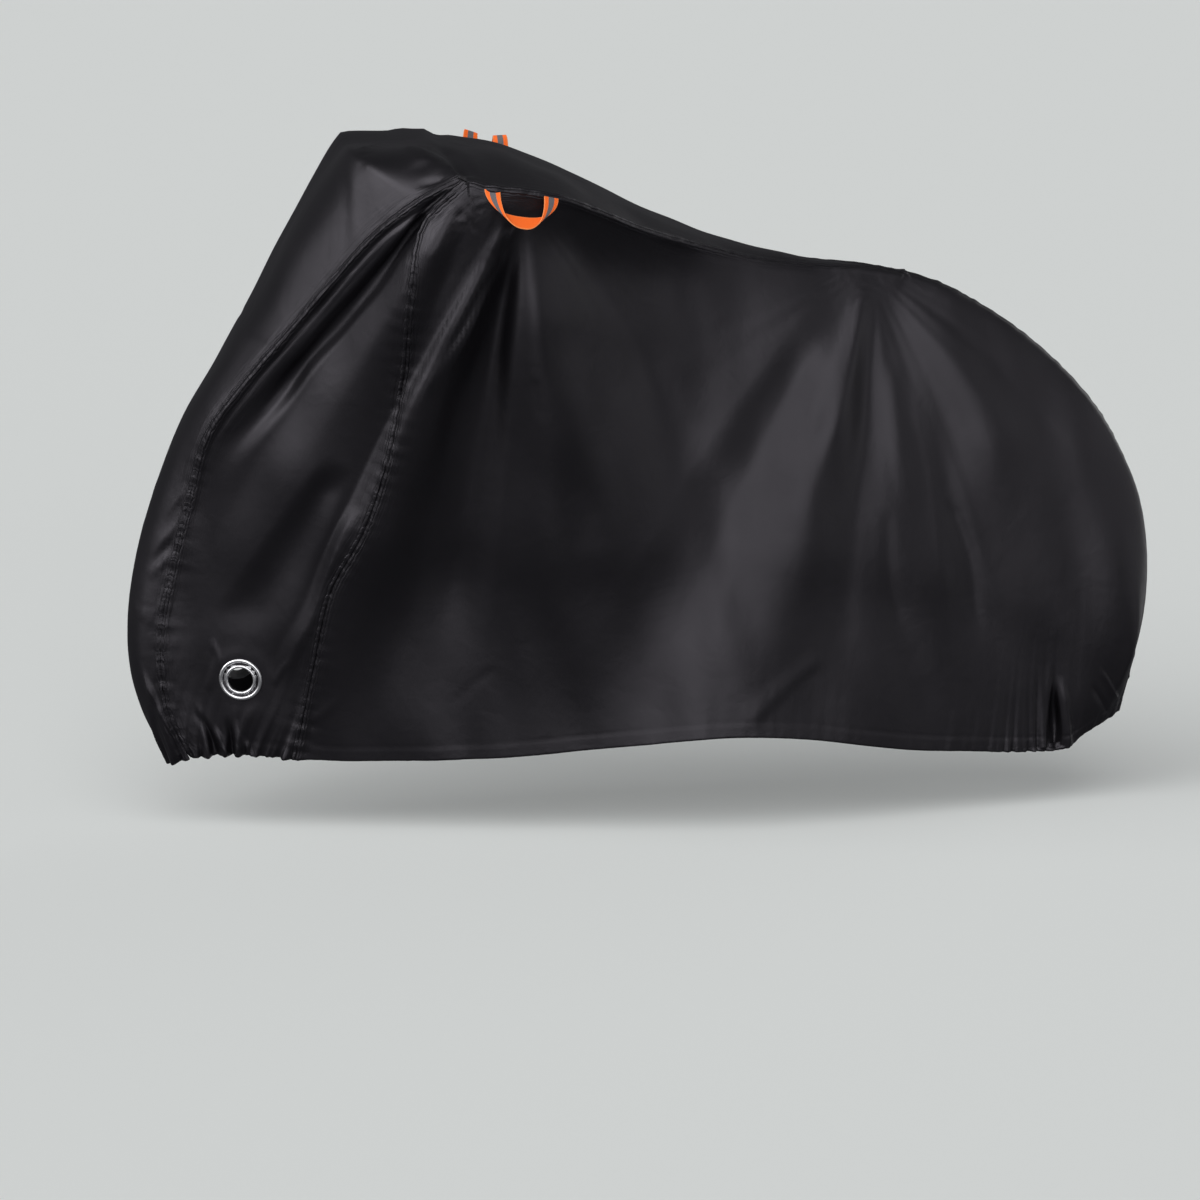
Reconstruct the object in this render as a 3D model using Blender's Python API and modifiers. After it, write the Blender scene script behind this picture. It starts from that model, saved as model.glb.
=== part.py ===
"""A fitted bicycle cover: black coated cloth, hollow and open below, as it hangs over a bicycle.

The front is at -X, the bicycle's left side at -Y and up is +Z; lengths are metres. The tables below
are measured from the ground under the tyres and from the bicycle's middle plane. The part's own
origin is HELD_AT, where the cloth rests on the handlebar, so every point is moved by it at the end.

Each panel is a grid laid between the seams that bound it. Its folds are soft ridges and troughs
along short lines. The cloth's thickness is then raised outwards along normals that neighbouring
panels share, so they meet along a seam with an even slit between them.
"""

import math
from typing import NamedTuple

import bmesh
import bpy
import numpy as np
from mathutils import Vector

# ---------------------------------------------------------------- driving dimensions

CLOTH = 0.002                    # thickness of the coated cloth as modelled
SEAM_SLIT = 0.0006               # clear width between two panels along their seam
HELD_AT = (-0.340, 0.0, 1.163)   # where the top rests on the handlebar, on the cloth's inner face

ROWS = 22                        # grid cells from the hem up to the bar end
GUSSET_COLUMNS = 8               # cells across a gusset
TOP_COLUMNS = 17                 # cells along the top seam, from the bar end to the saddle
BACK_COLUMNS = 17                # cells along the back seam, from the saddle to the hem
HALF_STRIP = 6                   # cells from a shaping seam to the middle of the centre panel

EYELET_AT = (-0.621, 0.267)      # centre of the lock eyelet, x and z
EYELET_OUTER = 0.0355            # radius of its flange
EYELET_INNER = 0.0210            # radius of its clear opening
EYELET_HOLE = 0.0250             # radius of the hole cut in the cloth
EYELET_FLAT = (0.074, 0.105)     # the cloth is flat inside the first radius, free past the second
EYELET_CLEAR = 0.0005            # gap between the eyelet's two flanges and the cloth
EYELET_SIDES = 32

WEBBING_WIDTH = 0.026
WEBBING_THICK = 0.0018
WEBBING_STEPS = 22               # cells along a carrying loop
LOOP_ROOTS = {                   # places of a loop's two ends along a side's top edge
    "left": (0.0200, 0.0670),
    "right": (0.0300, 0.0560),
}
LOOP_DROP = 0.052                # how far its middle hangs below its ends
LOOP_STAND = 0.022               # how far its middle stands out from the cloth
LOOP_TILT = (0.75, -0.65)        # way, out and up, that the webbing's width points at the middle
LOOP_SEAT = 0.0007               # from the seam's line out to the webbing's ends
LOOP_LOWER = 0.004               # and from the seam down to them


class Section(NamedTuple):
    """One crosswise section of the centre panel: seam, shoulder and middle points of its half."""

    seam: tuple        # (x, half-width, z) on the shaping seam
    shoulder: tuple    # (x, half-width, z) where the section turns over
    middle: tuple      # (x, z) on the middle plane


NOSE = (   # from the front hem up to the bar end
    Section((-0.708, 0.045, 0.125), (-0.730, 0.028, 0.113), (-0.738, 0.107)),
    Section((-0.733, 0.050, 0.174), (-0.756, 0.030, 0.164), (-0.766, 0.158)),
    Section((-0.754, 0.058, 0.280), (-0.789, 0.033, 0.272), (-0.801, 0.268)),
    Section((-0.750, 0.064, 0.370), (-0.789, 0.037, 0.364), (-0.804, 0.360)),
    Section((-0.732, 0.072, 0.456), (-0.774, 0.042, 0.454), (-0.791, 0.453)),
    Section((-0.702, 0.088, 0.578), (-0.740, 0.050, 0.583), (-0.754, 0.586)),
    Section((-0.672, 0.112, 0.690), (-0.696, 0.066, 0.701), (-0.706, 0.706)),
    Section((-0.608, 0.142, 0.785), (-0.636, 0.088, 0.800), (-0.646, 0.806)),
    Section((-0.539, 0.174, 0.870), (-0.577, 0.112, 0.890), (-0.591, 0.898)),
    Section((-0.465, 0.212, 0.962), (-0.519, 0.146, 0.988), (-0.535, 0.997)),
    Section((-0.394, 0.250, 1.044), (-0.457, 0.180, 1.084), (-0.475, 1.097)),
    Section((-0.326, 0.283, 1.100), (-0.410, 0.200, 1.155), (-0.427, 1.161)),
    Section((-0.266, 0.303, 1.137), (-0.282, 0.200, 1.160), (-0.290, 1.163)),
)

TOP = (    # from the bar end back to the saddle
    Section((-0.252, 0.307, 1.131), (-0.266, 0.200, 1.154), (-0.274, 1.157)),
    Section((-0.222, 0.313, 1.124), (-0.222, 0.200, 1.148), (-0.222, 1.153)),
    Section((-0.165, 0.312, 1.117), (-0.165, 0.195, 1.140), (-0.165, 1.145)),
    Section((-0.108, 0.300, 1.106), (-0.108, 0.180, 1.122), (-0.108, 1.126)),
    Section((-0.030, 0.250, 1.074), (-0.030, 0.145, 1.087), (-0.030, 1.090)),
    Section((0.055, 0.182, 1.034), (0.055, 0.105, 1.045), (0.055, 1.048)),
    Section((0.160, 0.114, 0.996), (0.160, 0.066, 1.004), (0.160, 1.006)),
    Section((0.268, 0.070, 0.964), (0.268, 0.040, 0.970), (0.268, 0.972)),
    Section((0.360, 0.040, 0.949), (0.360, 0.022, 0.952), (0.360, 0.953)),
    Section((0.454, 0.020, 0.941), (0.454, 0.011, 0.942), (0.454, 0.942)),
    Section((0.520, 0.006, 0.929), (0.521, 0.003, 0.930), (0.522, 0.931)),
)

SIDE_SEAM = (   # (x, half-width, z), the puckered seam from the hem up to the bar end
    (-0.531, 0.085, 0.126),
    (-0.501, 0.118, 0.283),
    (-0.468, 0.155, 0.439),
    (-0.419, 0.190, 0.540),
    (-0.380, 0.220, 0.663),
    (-0.354, 0.250, 0.796),
    (-0.344, 0.278, 0.937),
    (-0.318, 0.298, 1.065),
    (-0.252, 0.307, 1.131),
)

BACK_SEAM = (   # (x, z) on the middle plane, from the saddle round the rear wheel to the hem
    (0.588, 0.908),
    (0.651, 0.874),
    (0.715, 0.832),
    (0.779, 0.779),
    (0.822, 0.736),
    (0.865, 0.683),
    (0.909, 0.603),
    (0.932, 0.545),
    (0.950, 0.454),
    (0.952, 0.374),
    (0.943, 0.294),
    (0.929, 0.214),
)
REAR_CORNER = (0.913, 0.152)

GUSSET_HEM = (   # (x, half-width, z), from the front seam to the puckered seam
    (-0.708, 0.045, 0.125),
    (-0.667, 0.050, 0.128),
    (-0.603, 0.062, 0.131),
    (-0.531, 0.085, 0.126),
)

SIDE_HEM = (     # (x, half-width, z), from the puckered seam back to the rear corner
    (-0.531, 0.085, 0.126),
    (-0.472, 0.095, 0.125),
    (-0.355, 0.115, 0.128),
    (-0.209, 0.142, 0.134),
    (-0.110, 0.158, 0.142),
    (0.050, 0.185, 0.160),
    (0.211, 0.200, 0.173),
    (0.302, 0.190, 0.166),
    (0.374, 0.170, 0.154),
    (0.448, 0.145, 0.137),
    (0.539, 0.118, 0.120),
    (0.613, 0.098, 0.113),
    (0.744, 0.066, 0.100),
    (0.807, 0.050, 0.099),
    (0.862, 0.026, 0.130),
    (0.913, 0.000, 0.152),
)
SADDLE = 0.42          # place along a side's top edge where the centre panel ends
STRIP_END = 0.004      # and the share of that edge that the panel's blunt end takes
HEM_LEAN = 0.20        # how far the side's grid leans back, so its columns fan round the wheel
WHEEL_ROOM = 0.045     # how far the wheels and the saddle push the side out under the back seam


class Fold(NamedTuple):
    """A soft ridge (lift > 0) or trough (lift < 0) along a line, seen from the side as (x, z)."""

    start: tuple
    end: tuple
    bow: float         # how far the line's middle bends to the left of its way, metres
    spread: tuple      # half-width of the fold at its start and at its end
    lift: float


SIDE_FOLDS = (   # on the gussets and sides
    # from the bar end, along the front seam
    Fold((-0.290, 1.115), (-0.667, 0.630), 0.004, (0.012, 0.034), -0.016),
    Fold((-0.285, 1.090), (-0.705, 0.371), 0.020, (0.016, 0.055), 0.016),
    Fold((-0.455, 0.660), (-0.640, 0.300), 0.000, (0.030, 0.050), -0.012),
    Fold((-0.400, 0.640), (-0.550, 0.240), 0.000, (0.020, 0.040), 0.010),
    # from the carrying loop
    Fold((-0.176, 1.060), (-0.345, 0.775), 0.010, (0.008, 0.022), -0.009),
    Fold((-0.176, 1.050), (-0.330, 0.700), 0.012, (0.012, 0.030), 0.010),
    Fold((-0.170, 1.050), (-0.450, 0.260), 0.035, (0.020, 0.080), -0.024),
    Fold((-0.140, 1.050), (-0.086, 0.640), -0.020, (0.020, 0.065), 0.020),
    Fold((-0.060, 1.000), (0.060, 0.560), -0.010, (0.040, 0.100), -0.012),
    # from the saddle
    Fold((0.330, 0.890), (-0.020, 0.560), 0.010, (0.030, 0.080), -0.022),
    Fold((0.430, 0.930), (-0.010, 0.330), 0.010, (0.022, 0.080), 0.020),
    Fold((0.460, 0.880), (0.450, 0.500), -0.010, (0.012, 0.060), -0.016),
    Fold((0.500, 0.900), (0.700, 0.500), 0.040, (0.020, 0.090), 0.014),
    # towards the hem
    Fold((0.210, 0.480), (0.020, 0.140), -0.010, (0.030, 0.060), 0.012),
    Fold((0.400, 0.340), (0.200, 0.150), -0.010, (0.030, 0.060), 0.012),
    Fold((0.583, 0.600), (0.650, 0.280), 0.000, (0.030, 0.050), -0.010),
    Fold((0.790, 0.300), (0.782, 0.090), 0.000, (0.012, 0.030), -0.020),
)

CENTRE_FOLDS = (   # on the centre panel, seen from above as (x, y) with y from the middle plane
    Fold((-0.250, -0.300), (-0.300, 0.000), -0.010, (0.018, 0.030), -0.010),
    Fold((-0.318, -0.240), (-0.330, -0.100), 0.000, (0.026, 0.022), 0.008),
)

FAR_SHIFT = (0.018, -0.022)    # the far side's folds lie a little elsewhere, and are a little flatter
FAR_LIFT = 0.85


COLOURS = {   # linear colour, roughness and metallic value
    "cover_cloth": ((0.012, 0.012, 0.014), 0.45, 0.0),
    "handle_webbing": ((0.900, 0.150, 0.012), 0.60, 0.0),
    "eyelet_steel": ((0.620, 0.620, 0.630), 0.18, 1.0),
}


# ---------------------------------------------------------------- curves and fields

def chord_knots(points):
    """Return each point's place along the broken line through them, from 0 to 1."""
    steps = np.linalg.norm(np.diff(np.array(points, float), axis=0), axis=1)
    return np.concatenate([[0.0], np.cumsum(steps)]) / steps.sum()


def smooth_curve(points, knots=None):
    """Return a function of t, from 0 to 1, that runs smoothly through the points."""
    points = np.array(points, float)
    knots = chord_knots(points) if knots is None else knots
    slopes = np.gradient(points, knots, axis=0)

    def at(t):
        t = np.clip(np.asarray(t, float), 0.0, 1.0)
        i = np.clip(np.searchsorted(knots, t, side="right") - 1, 0, len(knots) - 2)
        h = (knots[i + 1] - knots[i])[..., None]
        s = (t[..., None] - knots[i][..., None]) / h
        start = (1 + 2 * s) * (1 - s) ** 2 * points[i] + s * (1 - s) ** 2 * h * slopes[i]
        end = s * s * (3 - 2 * s) * points[i + 1] - s * s * (1 - s) * h * slopes[i + 1]
        return start + end

    return at


def ease(t):
    """Rise smoothly from 0 to 1."""
    t = np.clip(t, 0.0, 1.0)
    return t * t * (3 - 2 * t)


def fold_lift(places, folds):
    """Return how far the folds lift the cloth at places, an array of 2D points."""
    lift = np.zeros(places.shape[:-1])
    for fold in folds:
        start = np.array(fold.start)
        way = np.array(fold.end) - start
        length = np.linalg.norm(way)
        along_way = way / length
        rel = places - start
        along = rel @ along_way / length
        across = along_way[0] * rel[..., 1] - along_way[1] * rel[..., 0]
        t = np.clip(along, 0.0, 1.0)
        half = fold.spread[0] + (fold.spread[1] - fold.spread[0]) * t
        off = (across - fold.bow * 4 * t * (1 - t)) / half
        past = (along - t) * length / half
        shape = np.clip(1 - off ** 2 - past ** 2, 0.0, 1.0) ** 2
        lift += fold.lift * shape * ease(t / 0.15) * ease((1 - t) / 0.40)
    return lift


def other_side(folds):
    """Return the folds as they lie on the far side: a little shifted and flatter."""
    shift = np.array(FAR_SHIFT)
    moved = []
    for number, fold in enumerate(folds):
        turn = 1 if number % 2 else -1
        start = tuple(np.array(fold.start) + 0.5 * turn * shift)
        end = tuple(np.array(fold.end) + turn * shift)
        moved.append(Fold(start, end, -fold.bow, fold.spread, FAR_LIFT * fold.lift))
    return tuple(moved)


# ---------------------------------------------------------------- panels as grids of points

def row_places():
    """Return the places of the grid's rows, from the hem (0) to the bar end (1)."""
    even = np.linspace(0.0, 1.0, ROWS + 1)
    return even + 0.06 * np.sin(math.pi * even)


def column_places():
    """Return the places of a side's columns along its top edge, with one at each end of the strip."""
    top = np.linspace(0.0, SADDLE, TOP_COLUMNS + 1)
    back = np.linspace(SADDLE + STRIP_END, 1.0, BACK_COLUMNS + 1)
    return np.concatenate([top, back])


def top_edge(u):
    """Return points at the places u along a side's top edge: the top seam, then the back seam."""
    seam = smooth_curve([section.seam for section in TOP])
    back = smooth_curve([(x, 0.0, z) for x, z in (TOP[-1].middle,) + BACK_SEAM])
    behind = (u - SADDLE - STRIP_END) / (1.0 - SADDLE - STRIP_END)
    return np.where((u <= SADDLE)[:, None], seam(u / SADDLE), back(behind))


def coons(bottom, top, left, right, u, v):
    """Fill a grid between four edges: bottom and top at the places u, left and right at v."""
    u = u[None, :, None]
    v = v[:, None, None]
    lofted = (1 - v) * bottom[None] + v * top[None]
    ruled = (1 - u) * left[:, None] + u * right[:, None]
    low = (1 - u) * bottom[0] + u * bottom[-1]
    high = (1 - u) * top[0] + u * top[-1]
    return lofted + ruled - (1 - v) * low - v * high


def side_grid(v, u, folds):
    """Return a side's points as (x, half-width, z), rows v from the hem and columns u."""
    corner = np.array([REAR_CORNER[0], 0.0, REAR_CORNER[1]])
    last = np.array([BACK_SEAM[-1][0], 0.0, BACK_SEAM[-1][1]])
    grid = coons(
        smooth_curve(SIDE_HEM)(u + HEM_LEAN * np.sin(math.pi * u)),
        top_edge(u),
        smooth_curve(SIDE_SEAM)(v),
        corner + v[:, None] * (last - corner),
        u,
        v,
    )
    over_wheel = ease((u - 0.5 * SADDLE) / (0.6 * SADDLE)) * ease((1 - u) / 0.08)
    rounded = np.sqrt(1 - v ** 6) * (1 - (1 - v) ** 2)
    grid[..., 1] += WHEEL_ROOM * rounded[:, None] * over_wheel[None, :]
    free = ease((1 - v) / 0.06)[:, None] * ease((1 - u) / 0.05)[None, :]
    grid[..., 1] += free * fold_lift(grid[..., [0, 2]], folds)
    return grid


def gusset_grid(v, u, folds):
    """Return a gusset's points as (x, half-width, z), rows v from the hem and columns u."""
    front = smooth_curve([section.seam for section in NOSE])(v)
    rear = smooth_curve(SIDE_SEAM)(v)
    top = front[-1] + u[:, None] * (rear[-1] - front[-1])
    grid = coons(smooth_curve(GUSSET_HEM)(u), top, front, rear, u, v)
    free = ease((1 - v) / 0.06)[:, None] * ease(u / 0.15)[None, :]
    grid[..., 1] += free * fold_lift(grid[..., [0, 2]], folds)
    return grid


def flat_round_eyelet(points):
    """Flatten a gusset round its eyelet; return its points, and the eyelet's centre and axis."""
    offset = points[..., [0, 2]] - np.array(EYELET_AT)
    reach = np.linalg.norm(offset, axis=-1)
    close = reach < EYELET_FLAT[1]
    terms = np.column_stack([offset[close], np.ones(close.sum())])
    slope_x, slope_z, level = np.linalg.lstsq(terms, points[close][:, 1], rcond=None)[0]
    plane = level + slope_x * offset[..., 0] + slope_z * offset[..., 1]
    inner, outer = EYELET_FLAT
    points[..., 1] += (1 - ease((reach - inner) / (outer - inner))) * (plane - points[..., 1])
    axis = np.array([-slope_x, 1.0, -slope_z])
    return points, np.array([EYELET_AT[0], level, EYELET_AT[1]]), axis / np.linalg.norm(axis)


def centre_rows(sections, places, across):
    """Return rows of the centre panel at places along its seam; across runs from 0 to 1."""
    knots = chord_knots([section.seam for section in sections])
    seam = smooth_curve([s.seam for s in sections], knots)(places)
    shoulder = smooth_curve([s.shoulder for s in sections], knots)(places)
    middle = smooth_curve([(s.middle[0], 0.0, s.middle[1]) for s in sections], knots)(places)
    near = np.array([1.0, -1.0, 1.0])
    rows = []
    for e, s, m in zip(seam, shoulder, middle):
        rows.append(smooth_curve([e * near, s * near, m, s, e])(across))
    return np.array(rows)


def centre_grid():
    """Return the centre panel's points, rows from the front hem back to the saddle."""
    across = np.linspace(0.0, 1.0, 2 * HALF_STRIP + 1)
    nose = centre_rows(NOSE, row_places(), across)
    top = centre_rows(TOP, np.linspace(0.0, 1.0, TOP_COLUMNS + 1), across)
    half = np.linspace(0.0, 1.0, HALF_STRIP + 1)[:, None]
    end = top[-1]
    end[:HALF_STRIP + 1] = end[0] + half * (end[HALF_STRIP] - end[0])
    end[HALF_STRIP:] = end[HALF_STRIP] + half * (end[-1] - end[HALF_STRIP])
    grid = np.concatenate([nose, top])
    seen = grid[..., [0, 1]] * np.where(grid[..., 1:2] > 0, -1.0, 1.0) ** [0, 1]
    edge = np.abs(np.linspace(-1.0, 1.0, 2 * HALF_STRIP + 1))
    lift = fold_lift(seen, CENTRE_FOLDS) * ease((1 - edge) / 0.25)
    grid[..., 2] += lift
    return grid


def cell_normals(points):
    """Return the sum of the normals of the cells at each grid point."""
    cells = np.cross(points[1:, 1:] - points[:-1, :-1], points[:-1, 1:] - points[1:, :-1])
    total = np.zeros_like(points)
    rows, columns = cells.shape[:2]
    for i in (0, 1):
        for j in (0, 1):
            total[i:rows + i, j:columns + j] += cells
    return total


def shared_normals(panels):
    """Return each panel's outward unit normals, made equal where panels meet at a point."""
    own = {name: cell_normals(points).reshape(-1, 3) for name, points in panels.items()}
    keys = {
        name: [tuple(key) for key in np.round(points.reshape(-1, 3), 5) + 0.0]
        for name, points in panels.items()
    }
    sums = {}
    for name, normals in own.items():
        for key, normal in zip(keys[name], normals):
            sums[key] = sums.get(key, 0.0) + normal
    shared = {}
    for name, points in panels.items():
        normals = np.array([sums[key] for key in keys[name]])
        normals /= np.linalg.norm(normals, axis=1)[:, None]
        shared[name] = normals.reshape(points.shape)
    return shared


def evened(normals, stops):
    """Run a border's normals evenly between the given places in it, as its straight edge does."""
    for first, last in zip(stops, stops[1:]):
        part = np.linspace(0.0, 1.0, last - first + 1)[:, None]
        normals[first:last + 1] = normals[first] + part * (normals[last] - normals[first])


def drawn_in(points, distance):
    """Move a grid's border into the panel by distance, square to the border."""
    moved = points.copy()
    for grid, target in ((points, moved), (points.swapaxes(0, 1), moved.swapaxes(0, 1))):
        for edge, inner in ((0, 1), (-1, -2)):
            along = np.gradient(grid[edge], axis=0)
            along /= np.linalg.norm(along, axis=1)[:, None]
            inwards = grid[inner] - grid[edge]
            inwards -= (inwards * along).sum(1)[:, None] * along
            inwards /= np.linalg.norm(inwards, axis=1)[:, None]
            target[edge] += distance * inwards
    return moved


def lay_panels():
    """Return every panel's points and outward normals by name, and each eyelet's place."""
    v = row_places()
    u = column_places()
    across = np.linspace(0.0, 1.0, GUSSET_COLUMNS + 1)
    panels = {"centre_panel": centre_grid()}
    eyelets = {}
    for hand, side in (("left", -1.0), ("right", 1.0)):
        folds = SIDE_FOLDS if side < 0 else other_side(SIDE_FOLDS)
        gusset, centre, axis = flat_round_eyelet(gusset_grid(v, across, folds))
        outwards = np.array([1.0, side, 1.0])
        turn = slice(None, None, -1 if side < 0 else 1)
        panels[f"gusset_{hand}"] = (gusset * outwards)[:, turn]
        panels[f"side_{hand}"] = (side_grid(v, u, folds) * outwards)[:, turn]
        eyelets[hand] = (centre * outwards, axis * outwards)
    normals = shared_normals(panels)
    evened(normals["centre_panel"][-1], (0, HALF_STRIP, 2 * HALF_STRIP))
    for hand in ("left", "right"):
        evened(normals[f"gusset_{hand}"][-1], (0, GUSSET_COLUMNS))
    return panels, normals, eyelets


# ---------------------------------------------------------------- solids

def new_material(name):
    """Make one of the part's finishes."""
    colour, roughness, metallic = COLOURS[name]
    material = bpy.data.materials.new(name)
    material.use_nodes = True
    shader = material.node_tree.nodes["Principled BSDF"]
    shader.inputs["Base Color"].default_value = (*colour, 1.0)
    shader.inputs["Roughness"].default_value = roughness
    shader.inputs["Metallic"].default_value = metallic
    material.diffuse_color = (*colour, 1.0)
    return material


def raised_sheet(name, points, normals, thickness, material, collection):
    """Make a closed sheet: a grid on the points, raised along the normals by its thickness."""
    rows, columns = points.shape[0] - 1, points.shape[1] - 1
    shape = bmesh.new()
    bmesh.ops.create_grid(shape, x_segments=columns, y_segments=rows, size=0.5)
    row = shape.verts.layers.int.new("row")
    column = shape.verts.layers.int.new("column")
    for vert in shape.verts:
        vert[row] = round((vert.co.y + 0.5) * rows)
        vert[column] = round((vert.co.x + 0.5) * columns)
    raised = bmesh.ops.extrude_face_region(shape, geom=shape.faces[:], use_keep_orig=True)["geom"]
    upper = {item for item in raised if isinstance(item, bmesh.types.BMVert)}
    for vert in shape.verts:
        place = vert[row], vert[column]
        height = thickness if vert in upper else 0.0
        vert.co = points[place] + height * normals[place] - np.array(HELD_AT)
    bmesh.ops.recalc_face_normals(shape, faces=shape.faces[:])
    mesh = bpy.data.meshes.new(name)
    shape.to_mesh(mesh)
    shape.free()
    mesh.shade_smooth()
    mesh.set_sharp_from_angle(angle=math.radians(60))
    mesh.materials.append(material)
    piece = bpy.data.objects.new(name, mesh)
    collection.objects.link(piece)
    return piece


def turned_ring(name, profile, centre, axis, material, collection):
    """Make a ring from a closed profile of (radius, height), turned about the axis."""
    mesh = bpy.data.meshes.new(name)
    count = len(profile)
    edges = [(i, (i + 1) % count) for i in range(count)]
    mesh.from_pydata([(radius, 0.0, height) for radius, height in profile], edges, [])
    mesh.materials.append(material)
    ring = bpy.data.objects.new(name, mesh)
    turn = ring.modifiers.new("turned", "SCREW")
    turn.steps = turn.render_steps = EYELET_SIDES
    turn.angle = 2 * math.pi
    turn.use_merge_vertices = True
    turn.merge_threshold = 0.00001
    ring.location = Vector(centre) - Vector(HELD_AT)
    ring.rotation_mode = "QUATERNION"
    ring.rotation_quaternion = Vector(axis).to_track_quat("Z", "X")
    collection.objects.link(ring)
    return ring


def eyelet_profile():
    """Return the section of an eyelet, down its outer side first: a front and a back flange."""
    front = CLOTH + EYELET_CLEAR
    back = -EYELET_CLEAR
    rim = 0.0016
    neck = EYELET_HOLE - EYELET_CLEAR
    return (
        (EYELET_INNER + 0.0010, front + rim + 0.0012),
        (EYELET_INNER + 0.0045, front + rim + 0.0014),
        (EYELET_INNER + 0.0060, front + rim),
        (EYELET_OUTER - 0.0045, front + rim + 0.0006),
        (EYELET_OUTER - 0.0015, front + rim),
        (EYELET_OUTER, front + 0.5 * rim),
        (EYELET_OUTER - 0.0005, front),
        (neck, front),
        (neck, back),
        (EYELET_OUTER - 0.0030, back),
        (EYELET_OUTER - 0.0030, back - 0.0012),
        (EYELET_INNER, back - 0.0012),
        (EYELET_INNER, front + rim),
    )


def cut_hole(panel, centre, axis, cutters):
    """Cut a round hole through the panel at an eyelet."""
    bpy.ops.mesh.primitive_cylinder_add(vertices=EYELET_SIDES, radius=EYELET_HOLE, depth=0.03)
    cutter = bpy.context.object
    cutter.name = f"hole_{panel.name}"
    for collection in cutter.users_collection:
        collection.objects.unlink(cutter)
    cutters.objects.link(cutter)
    cutter.location = Vector(centre) - Vector(HELD_AT)
    cutter.rotation_mode = "QUATERNION"
    cutter.rotation_quaternion = Vector(axis).to_track_quat("Z", "X")
    cutter.hide_render = True
    cutter.display_type = "WIRE"
    cut = panel.modifiers.new("eyelet hole", "BOOLEAN")
    cut.operation = "DIFFERENCE"
    cut.object = cutter


def loop_route(hand, side):
    """Return a carrying loop's grid of points and its outward normals, in rows along it."""
    angle = np.linspace(math.pi, 0.0, WEBBING_STEPS + 1)
    front, rear = LOOP_ROOTS[hand]
    along = front + 0.5 * (1 + np.cos(angle)) * (rear - front)
    low = np.sin(angle)[:, None]
    step = 0.001
    line = top_edge(along)
    seam_way = top_edge(along + step) - top_edge(along - step)
    seam_way /= np.linalg.norm(seam_way, axis=1)[:, None]
    line += np.array([0.0, LOOP_SEAT, -LOOP_LOWER])
    line += low * np.array([0.0, LOOP_STAND, -LOOP_DROP])
    width = -np.cos(angle)[:, None] * seam_way + low * np.array([0.0, *LOOP_TILT])
    width /= np.linalg.norm(width, axis=1)[:, None]
    way = np.gradient(line, axis=0)
    face = np.cross(width, way)
    face /= np.linalg.norm(face, axis=1)[:, None]
    half = 0.5 * WEBBING_WIDTH
    grid = np.stack([line - half * width, line, line + half * width], axis=1)
    normals = np.repeat(face[:, None], 3, axis=1)
    outwards = np.array([1.0, side, 1.0])
    return grid * outwards, normals * outwards


def build():
    """Build the whole cover."""
    for item in list(bpy.data.objects):
        bpy.data.objects.remove(item)
    cover = bpy.data.collections.new("bicycle_cover")
    cutters = bpy.data.collections.new("cutters")
    for collection in (cover, cutters):
        bpy.context.scene.collection.children.link(collection)
    cloth, webbing, steel = (new_material(name) for name in COLOURS)
    panels, normals, eyelets = lay_panels()
    pieces = {}
    for name, points in panels.items():
        inset = drawn_in(points, 0.5 * SEAM_SLIT)
        pieces[name] = raised_sheet(name, inset, normals[name], CLOTH, cloth, cover)
    for hand, side in (("left", -1.0), ("right", 1.0)):
        centre, axis = eyelets[hand]
        cut_hole(pieces[f"gusset_{hand}"], centre, axis, cutters)
        turned_ring(f"eyelet_{hand}", eyelet_profile(), centre, axis, steel, cover)
        grid, faces = loop_route(hand, side)
        raised_sheet(f"handle_{hand}", grid, faces, WEBBING_THICK, webbing, cover)


build()
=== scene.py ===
"""The looks of a fitted bicycle cover: black coated cloth panels, webbing loops and lock eyelets.

The panels are laid out as in the part's source: tables measured from the ground under the tyres and
from the middle plane, with the front at -X, the left side at -Y and +Z up. Each panel is a fine
grid with its own soft folds. Creases, puckered seams and the gathered hem are then raised along the
panel's normals, and thread, webbing and steel are added as pieces of their own.
"""

from __future__ import annotations

import logging
import math
from dataclasses import dataclass, field
from enum import Enum
from functools import reduce
from typing import NamedTuple

import bmesh
import bpy
import numpy as np
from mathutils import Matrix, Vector


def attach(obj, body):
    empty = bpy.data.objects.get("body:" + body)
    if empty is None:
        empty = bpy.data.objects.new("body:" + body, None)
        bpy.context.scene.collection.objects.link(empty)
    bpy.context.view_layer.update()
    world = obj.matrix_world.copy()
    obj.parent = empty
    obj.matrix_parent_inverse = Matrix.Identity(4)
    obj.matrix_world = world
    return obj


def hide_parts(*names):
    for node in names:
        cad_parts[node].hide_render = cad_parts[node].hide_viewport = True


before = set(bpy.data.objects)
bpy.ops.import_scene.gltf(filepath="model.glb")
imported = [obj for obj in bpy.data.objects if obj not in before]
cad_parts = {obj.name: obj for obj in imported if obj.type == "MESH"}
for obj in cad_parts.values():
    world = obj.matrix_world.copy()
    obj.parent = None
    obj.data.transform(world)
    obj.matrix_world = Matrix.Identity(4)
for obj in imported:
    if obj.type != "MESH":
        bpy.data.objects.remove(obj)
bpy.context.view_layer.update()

log = logging.getLogger("bicycle_cover")

# ---------------------------------------------------------------- sizes shared with the solids

CLOTH = 0.002                    # thickness of the solids' cloth
HELD_AT = np.array([-0.340, 0.0, 1.163])   # the part's origin, measured from the ground
EYELET_AT = (-0.621, 0.267)      # centre of the lock eyelet, x and z
SADDLE = 0.42                    # place along a side's top edge where the centre panel ends
STRIP_END = 0.004                # the share of that edge that the panel's blunt end takes
HEM_LEAN = 0.20                  # how far the side's grid leans back round the rear wheel
WHEEL_ROOM = 0.045               # how far wheels and saddle push the side out

# ---------------------------------------------------------------- sizes of the visible cloth

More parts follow.
